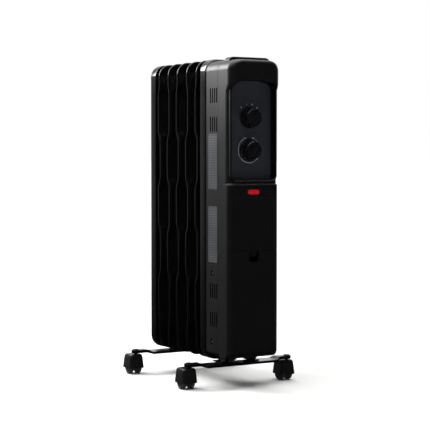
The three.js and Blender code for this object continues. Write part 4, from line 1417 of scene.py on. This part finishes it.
@dataclass
class Feet(SubAssembly):
    """The two pressed cross bars, what clamps them to the fins, and their wing screws."""

    half_length: float = 118.2
    channel_half: float = 79.0
    channel_top: float = 44.5
    channel_low: float = 39.5
    tongue_top: float = 49.0
    tongue_low: float = 42.5
    half_wide: float = 18.0
    half_slim: float = 8.5
    sheet: float = 2.0
    stem_x: float = PLACE.stem_x
    stem_hole: float = 3.8
    front_y: float = PLACE.front_bar_y
    rear_y: float = PLACE.rear_bar_y
    front_bolt_x: float = 34.0
    rear_bolt_x: float = 18.0
    bolt_hole: float = 2.8
    hub_z: float = PLACE.hub_heights[0]
    fin_bottom: float = PLACE.fin_bottom
    bracket_front: float = -104.0
    bracket_top: float = 63.0
    bracket_sheet: float = 2.5

    def bores(self, x: float, y: float, radius: float, low: float, high: float) -> list[Solid]:
        """Cutters of a pair of upright holes.

        Args:
            x: Distance of each from the middle.
            y: Their place along the heater.
            radius: Their radius.
            low, high: Their ends.

        Returns:
            The two cutters.
        """
        return [Solid.rod(Axis.Z, (side * x, y), radius, low, high) for side in SIDES.values()]

    def bar(self, bolt_x: float) -> Solid:
        """A pressed cross bar about the origin: a shallow channel with a raised tongue at each end.

        Args:
            bolt_x: Distance of its screw holes from the middle.

        Returns:
            The solid.
        """
        c, end = self.channel_half, self.half_length
        right = [
            (c - 2, self.channel_low), (c + 1, self.channel_low + 0.8), (c + 4, self.tongue_low - 1),
            (c + 8, self.tongue_low), (end, self.tongue_low), (end, self.tongue_top - 0.8),
            (end - 0.8, self.tongue_top), (c + 9, self.tongue_top), (c + 5, self.tongue_top - 1.2),
            (c + 2, self.channel_top + 0.8), (c - 2, self.channel_top),
        ]
        profile = right + mirrored(right)
        wide, slim = self.half_wide, self.half_slim
        quarter = [
            *curve((c - 10, -wide), (c + 1, -wide), (c + 8, -slim - 2), 8),
            *curve((c + 8, -slim - 2), (c + 12, -slim), (c + 18, -slim), 4)[1:],
        ]
        tip = arc(end - slim, 0, slim, -90, 90, 20)
        side = [*quarter, *tip, *[(x, -y) for x, y in reversed(quarter)]]
        plan = side + [(-x, -y) for x, y in side]
        inside, roof = wide - self.sheet, self.channel_top - self.sheet
        hollow = Solid.block((-c + 3, c - 3), (-inside, inside), (0, roof), 3)
        holes = self.bores(self.stem_x, 0, self.stem_hole, 0, 100)
        holes += self.bores(bolt_x, 0, self.bolt_hole, 0, 100)
        raised = Solid.prism(Axis.Y, profile, -wide - 1, wide + 1).common(Solid.prism(Axis.Z, plan, 0, 100))
        return raised.cut(hollow, *holes)

    def saddle(self) -> Solid:
        """The rear clamp: a plate on the bar with two round-shouldered tabs round the lowest hub.

        Returns:
            The solid.
        """
        y, span = self.rear_y, (self.channel_top + GAP, self.fin_bottom - GAP)
        plate = Solid.block((-26, 26), (y - 15, y + 15), span, 4)
        outline = rounded(-24, 24, self.fin_bottom - 2, 84, (0, 0, 9, 9), 8)
        middles = [y + side * 11.8 for side in SIDES.values()]
        tabs = [Solid.prism(Axis.Y, outline, middle - 1, middle + 1) for middle in middles]
        hub = Solid.rod(Axis.Y, (0, self.hub_z), 20.3, y - 40, y + 40, 48)
        return plate.join(*tabs).cut(hub, *self.bores(self.rear_bolt_x, y, self.bolt_hole, 40, 60))

    def bracket(self) -> Solid:
        """The front clamp: a hat-shaped plate between the front bar and the front fin.

        Returns:
            The solid.
        """
        low, top, thick = self.channel_top + GAP, self.bracket_top, self.bracket_sheet
        back = PLACE.housing_back - GAP
        depth = (self.bracket_front, back)
        parts = [Solid.block((-26, 26), (back - thick, back), (self.fin_bottom, top))]
        for side in SIDES.values():
            near, far = side * 26, side * 42
            parts.append(Solid.block(tuple(sorted((near, near + side * thick))), depth, (low, top)))
            parts.append(Solid.block(tuple(sorted((near, far))), depth, (low, low + thick)))
        roof = Solid.block((-52, 52), depth, (top - thick, top), 2)
        return roof.join(*parts).cut(*self.bores(self.front_bolt_x, self.front_y, self.bolt_hole, 40, 52))

    def clamp_bolt(self, x: float, y: float, top: float) -> Solid:
        """A bolt put up through the bar, with its head inside the channel.

        Args:
            x, y: Its axis.
            top: Height of its upper end.

        Returns:
            The solid.
        """
        web = self.channel_top - self.sheet - GAP
        head = [(2.5, top), (2.5, web), (5.0, web), (5.0, web - 1.6), (4.2, web - 2.2), (0.05, web - 2.2)]
        return Solid.lathe(Axis.Z, (x, y), head, 32)

    def wing_bolt(self, x: float, y: float) -> Solid:
        """A clamp bolt with two rounded wings above the clamp's flange.

        Args:
            x, y: Its axis.

        Returns:
            The solid.
        """
        seat = self.channel_top + self.bracket_sheet + 2 * GAP
        wing = [
            (y - 3, seat + 0.6), (y + 3, seat + 0.6), *curve((y + 5, 48), (y + 9, 48.4), (y + 9, 52), 6),
            *curve((y + 9, 52), (y + 8.6, 55), (y + 5.5, 54.6), 6), (y + 1.5, 50.6), (y - 1.5, 50.6),
            *curve((y - 5.5, 54.6), (y - 8.6, 55), (y - 9, 52), 6),
            *curve((y - 9, 52), (y - 9, 48.4), (y - 5, 48), 6),
        ]
        boss = Solid.lathe(Axis.Z, (x, y), [(4.0, seat), (4.0, 48.6), (3.2, 50.0), (0.05, 50.0)], 32)
        return self.clamp_bolt(x, y, 49.5).join(Solid.prism(Axis.X, wing, x - 1.4, x + 1.4), boss)

    def build(self) -> None:
        """Makes the bars, clamps and bolts."""
        steel, plated = FinishName.ENAMEL, FinishName.ZINC
        for end, y, bolt_x in (
            ("front", self.front_y, self.front_bolt_x),
            ("rear", self.rear_y, self.rear_bolt_x),
        ):
            bar = self.bar(bolt_x).moved((0, y, 0))
            self.add(f"{end}_bar", bar, steel, stands_for=[f"{end}_foot_bar"], bevel=0.6, segments=3)
        for label, side in SIDES.items():
            winged = self.wing_bolt(side * self.front_bolt_x, self.front_y)
            node = f"front_wing_bolt_{label}"
            self.add(f"wing_screw_{label}", winged, plated, stands_for=[node], bevel=0.3)
            plain = self.clamp_bolt(side * self.rear_bolt_x, self.rear_y, self.fin_bottom - GAP)
            node = f"rear_clamp_bolt_{label}"
            self.add(f"clamp_screw_{label}", plain, plated, stands_for=[node], bevel=0.2)
        self.add("front_clamp", self.bracket(), steel, stands_for=["front_foot_bracket"], bevel=0.5)
        self.add("rear_clamp", self.saddle(), steel, stands_for=["rear_foot_saddle"], bevel=0.4)


@dataclass
class Casters(SubAssembly):
    """Four twin-wheel casters, each with a hood that turns on its stem."""

    x: float = PLACE.stem_x
    rows: tuple[tuple[str, float], ...] = (("front", PLACE.front_bar_y), ("rear", PLACE.rear_bar_y))
    trail: float = 10.0
    wheel_radius: float = 13.5
    wheel_half: float = 4.0
    wheel_x: float = 8.9
    stem: float = 3.2
    axle_bore: float = 2.3
    hood_low: float = 12.0
    hood_top: float = 40.0
    hood_x: float = 16.0
    hood_y: float = 17.5
    wall: float = 1.6
    head_top: float = 51.0
    head_low: float = 49.3

    def ring(self, z: float, shrink: float, corner: float) -> list[Triple]:
        """One level of the hood about its stem.

        Args:
            z: Height.
            shrink: How far it is pulled in from the widest level.
            corner: Its corner radius.

        Returns:
            The points.
        """
        hx, hy = self.hood_x - shrink, self.hood_y - shrink
        outline = rounded(-hx, hx, self.trail - hy, self.trail + hy, [min(corner, hx - 0.5)] * 4, 10)
        return [(a, b, z) for a, b in outline]

    def hood(self) -> Solid:
        """The hood about its stem: a soft-topped shell with a middle web, axle boss and stem boss.

        Returns:
            The solid.
        """
        low, top, axle = self.hood_low, self.hood_top, (self.trail, self.wheel_radius)
        levels = (
            (low, 0.0), (low + 4, 0.1), (top - 8, 1.5), (top - 4, 2.1), (top - 1.8, 2.9), (top - 0.6, 3.9),
            (top, 5.6),
        )
        hollow = ((low - 1, -0.1), (low + 5, 0.0), (top - 9, 1.2), (top - 6, 4.2))
        outside = Solid.loft([self.ring(z, shrink, 4.5) for z, shrink in levels])
        inside = Solid.loft([self.ring(z, self.wall + shrink, 3.0) for z, shrink in hollow])
        web_half = self.wheel_x - self.wheel_half - 2 * GAP
        web = Solid.block((-web_half, web_half), (-30, 50), (self.wheel_radius - 5, top - 4)).common(outside)
        axle_boss = Solid.rod(Axis.X, axle, 5, -web_half, web_half)
        stem_boss = Solid.rod(Axis.Z, (0, 0), self.stem + 2.6, 28.2, top)
        bore = Solid.rod(Axis.X, axle, self.axle_bore, -self.hood_x + 3, self.hood_x - 3)
        stem_bore = Solid.rod(Axis.Z, (0, 0), self.stem + GAP, top - 8, top + 5)
        return outside.cut(inside).join(web, axle_boss, stem_boss).cut(bore, stem_bore)

    def stem_pin(self) -> Solid:
        """The stem and its domed head, which caps the tongue of the bar."""
        head = [
            (self.stem, self.hood_top - 7.7), (self.stem, self.head_low), (5.7, self.head_low), (6.0, 49.7),
            (5.8, 50.2), (5.0, 50.65), (3.4, 50.9), (0.05, self.head_top),
        ]
        return Solid.lathe(Axis.Z, (0, 0), head, 40)

    def wheel(self, side: float) -> Solid:
        """A wheel with a rounded tread and a recessed, raised-hub face.

        Args:
            side: -1 for the left wheel and 1 for the right.

        Returns:
            The solid.
        """
        r, half, bore = self.wheel_radius, self.wheel_half, self.axle_bore
        profile = [
            (bore, half), (4.2, half), (4.8, half - 0.9), (9.6, half - 0.9), (10.4, half),
            (r - 1.6, half), (r - 0.7, half - 0.4), (r - 0.1, half - 1.4), (r, half - 2.6),
            (r, -half + 1.8), (r - 0.3, -half + 0.8), (r - 1.2, -half), (bore, -half),
        ]
        placed = [(radius, side * (self.wheel_x + along)) for radius, along in profile]
        return Solid.lathe(Axis.X, (self.trail, r), placed, 64, closed=True)

    def build(self) -> None:
        """Makes the four casters."""
        hood, pin = self.hood(), self.stem_pin()
        for end, y in self.rows:
            for label, side in SIDES.items():
                corner, place = f"{end}_{label}", (side * self.x, y, 0.0)
                body = f"caster_{corner}"
                shell, shaft = hood.moved(place), pin.moved(place)
                self.add(f"hood_{corner}", shell, FinishName.CASTER, body, [f"{body}_hood"], bevel=0.35)
                self.add(f"stem_{corner}", shaft, FinishName.ENAMEL, body, [f"{body}_stem"], bevel=0)
                for which, turn in SIDES.items():
                    name, node = f"wheel_{corner}_{which}", f"{body}_wheel_{which}"
                    self.add(name, self.wheel(turn).moved(place), FinishName.WHEEL, name, [node], bevel=0)


@dataclass
class InnerParts(SubAssembly):
    """CAD nodes that show as they are, such as the switches behind the panel."""

    finishes: dict[str, FinishName] = field(
        default_factory=lambda: {
            "heating_element": FinishName.ZINC,
            "cord_gland": FinishName.WHEEL,
            "door_hinge_rod": FinishName.ZINC,
            "rear_plate": FinishName.ZINC,
            "selector_shaft": FinishName.BRASS,
            "selector_switch": FinishName.NYLON,
            "thermostat_shaft": FinishName.BRASS,
            "thermostat_body": FinishName.RESIN,
            "indicator_lamp": FinishName.NYLON,
            "thermal_cutoff": FinishName.ZINC,
            "terminal_block": FinishName.NYLON,
            "tip_over_switch": FinishName.ZINC,
            "tip_over_pendulum": FinishName.BRASS,
        }
    )

    def build(self) -> None:
        """Takes in each CAD node that no piece stands for."""
        for name, item in frame["nodes"].items():
            if not item.hide_render:
                finish = FinishName.ZINC if name.endswith("_axle") else self.finishes[name]
                self.pieces.append(Piece(item, finish))
                LOG.info("InnerParts: %s", name)


@dataclass
class Studio:
    """The floor, the soft light and the camera."""

    camera_place: Triple = (-1.3542, -2.2993, 0.4304)
    turn: float = 30.578
    tilt: float = 2.332
    lens: float = 113.7
    floor_size: float = 400.0
    card_place: Triple = (-0.62, 0.78, 1.0)
    card_size: Pair = (0.5, 0.5)
    card_target: Triple = (-0.06, -0.1, 0.6)
    card_power: float = 13.5
    sun_place: Triple = (-0.5, 0.6, 4.0)
    sun_power: float = 4.0
    sun_spread: float = 90.0

    def look(self) -> Vector:
        """The direction that the camera looks in."""
        a, e = math.radians(self.turn), math.radians(self.tilt)
        return Vector((math.sin(a) * math.cos(e), math.cos(a) * math.cos(e), -math.sin(e)))

    def floor(self) -> None:
        """Lays a plain pale floor."""
        bm = bmesh.new()
        bmesh.ops.create_grid(bm, x_segments=8, y_segments=8, size=self.floor_size / 2)
        mesh = bpy.data.meshes.new("studio_floor")
        bm.to_mesh(mesh)
        bm.free()
        item = bpy.data.objects.new("studio_floor", mesh)
        bpy.context.scene.collection.objects.link(item)
        item.visible_glossy = False
        made = bpy.data.materials.new("pale_floor")
        made.use_nodes = True
        tree = made.node_tree
        tree.nodes.clear()
        paint = {"Base Color": colour("f4f4f2"), "Roughness": 0.9}
        shader = add_node(tree, "ShaderNodeBsdfPrincipled", paint)
        add_node(tree, "ShaderNodeOutputMaterial", {"Surface": shader.outputs[0]})
        mesh.materials.append(made)

    def world(self) -> None:
        """Lights the room: bright behind the object, dim in front of it and below."""
        world = bpy.data.worlds.new("studio")
        bpy.context.scene.world = world
        world.use_nodes = True
        tree = world.node_tree
        tree.nodes.clear()
        where = add_node(tree, "ShaderNodeTexCoord").outputs["Generated"]
        flat = Vector((self.look().x, self.look().y, 0)).normalized()
        ahead = add_node(tree, "ShaderNodeVectorMath", {0: where, 1: tuple(flat)}, operation="DOT_PRODUCT")
        parts = add_node(tree, "ShaderNodeSeparateXYZ", {0: where})
        ramps = []
        for value, start, end, dark in (
            (ahead.outputs["Value"], 0.35, 0.95, 0.03),
            (parts.outputs["Z"], -0.12, -0.02, 0.05),
        ):
            fade = {"Value": value, "From Min": start, "From Max": end, "To Min": dark, "To Max": 1.0}
            ramp = add_node(tree, "ShaderNodeMapRange", fade, interpolation_type="SMOOTHSTEP")
            ramps.append(ramp.outputs[0])
        power = add_node(tree, "ShaderNodeMath", dict(enumerate(ramps)), operation="MULTIPLY").outputs[0]
        light = add_node(tree, "ShaderNodeBackground", {"Color": colour("ffffff"), "Strength": power})
        add_node(tree, "ShaderNodeOutputWorld", {"Surface": light.outputs[0]})

    def lamp(self, name: str, kind: str, place: Triple, target: Triple, power: float) -> bpy.types.Light:
        """Adds one lamp.

        Args:
            name: Its name.
            kind: Its type.
            place: Where it is, in metres.
            target: What it points at.
            power: Its energy.

        Returns:
            The lamp's data.
        """
        data = bpy.data.lights.new(name, kind)
        data.energy = power
        item = bpy.data.objects.new(name, data)
        item.location = place
        item.rotation_mode = "QUATERNION"
        item.rotation_quaternion = (Vector(target) - Vector(place)).to_track_quat("-Z", "Y")
        item.visible_camera = False
        bpy.context.scene.collection.objects.link(item)
        return data

    def lights(self) -> None:
        """Hangs a broad overhead light and a large card to the left, behind the object."""
        overhead = self.lamp("overhead", "SUN", self.sun_place, (0, 0, 0), self.sun_power)
        overhead.angle = math.radians(self.sun_spread)
        card = self.lamp("left_card", "AREA", self.card_place, self.card_target, self.card_power)
        card.shape = "RECTANGLE"
        card.size, card.size_y = self.card_size

    def camera(self) -> None:
        """Sets up the camera."""
        data = bpy.data.cameras.new("camera")
        data.lens, data.sensor_width = self.lens, 36.0
        data.clip_end = 1000.0
        item = bpy.data.objects.new("camera", data)
        item.location = self.camera_place
        item.rotation_mode = "QUATERNION"
        item.rotation_quaternion = self.look().to_track_quat("-Z", "Y")
        bpy.context.scene.collection.objects.link(item)
        bpy.context.scene.camera = item

    def build(self) -> None:
        """Makes the studio."""
        bpy.context.scene.view_settings.view_transform = "Standard"
        self.floor()
        self.world()
        self.lights()
        self.camera()


def main() -> None:
    """Builds and dresses each sub-assembly in order, then the studio."""
    logging.basicConfig(level=logging.INFO, format="%(message)s")
    materials = {finish.name: finish.material() for finish in FINISHES}
    for assembly in (FinStack(), ControlHousing(), Controls(), Feet(), Casters(), InnerParts()):
        assembly.build()
        assembly.dress(materials)
    Studio().build()


if __name__ == "__main__":
    main()
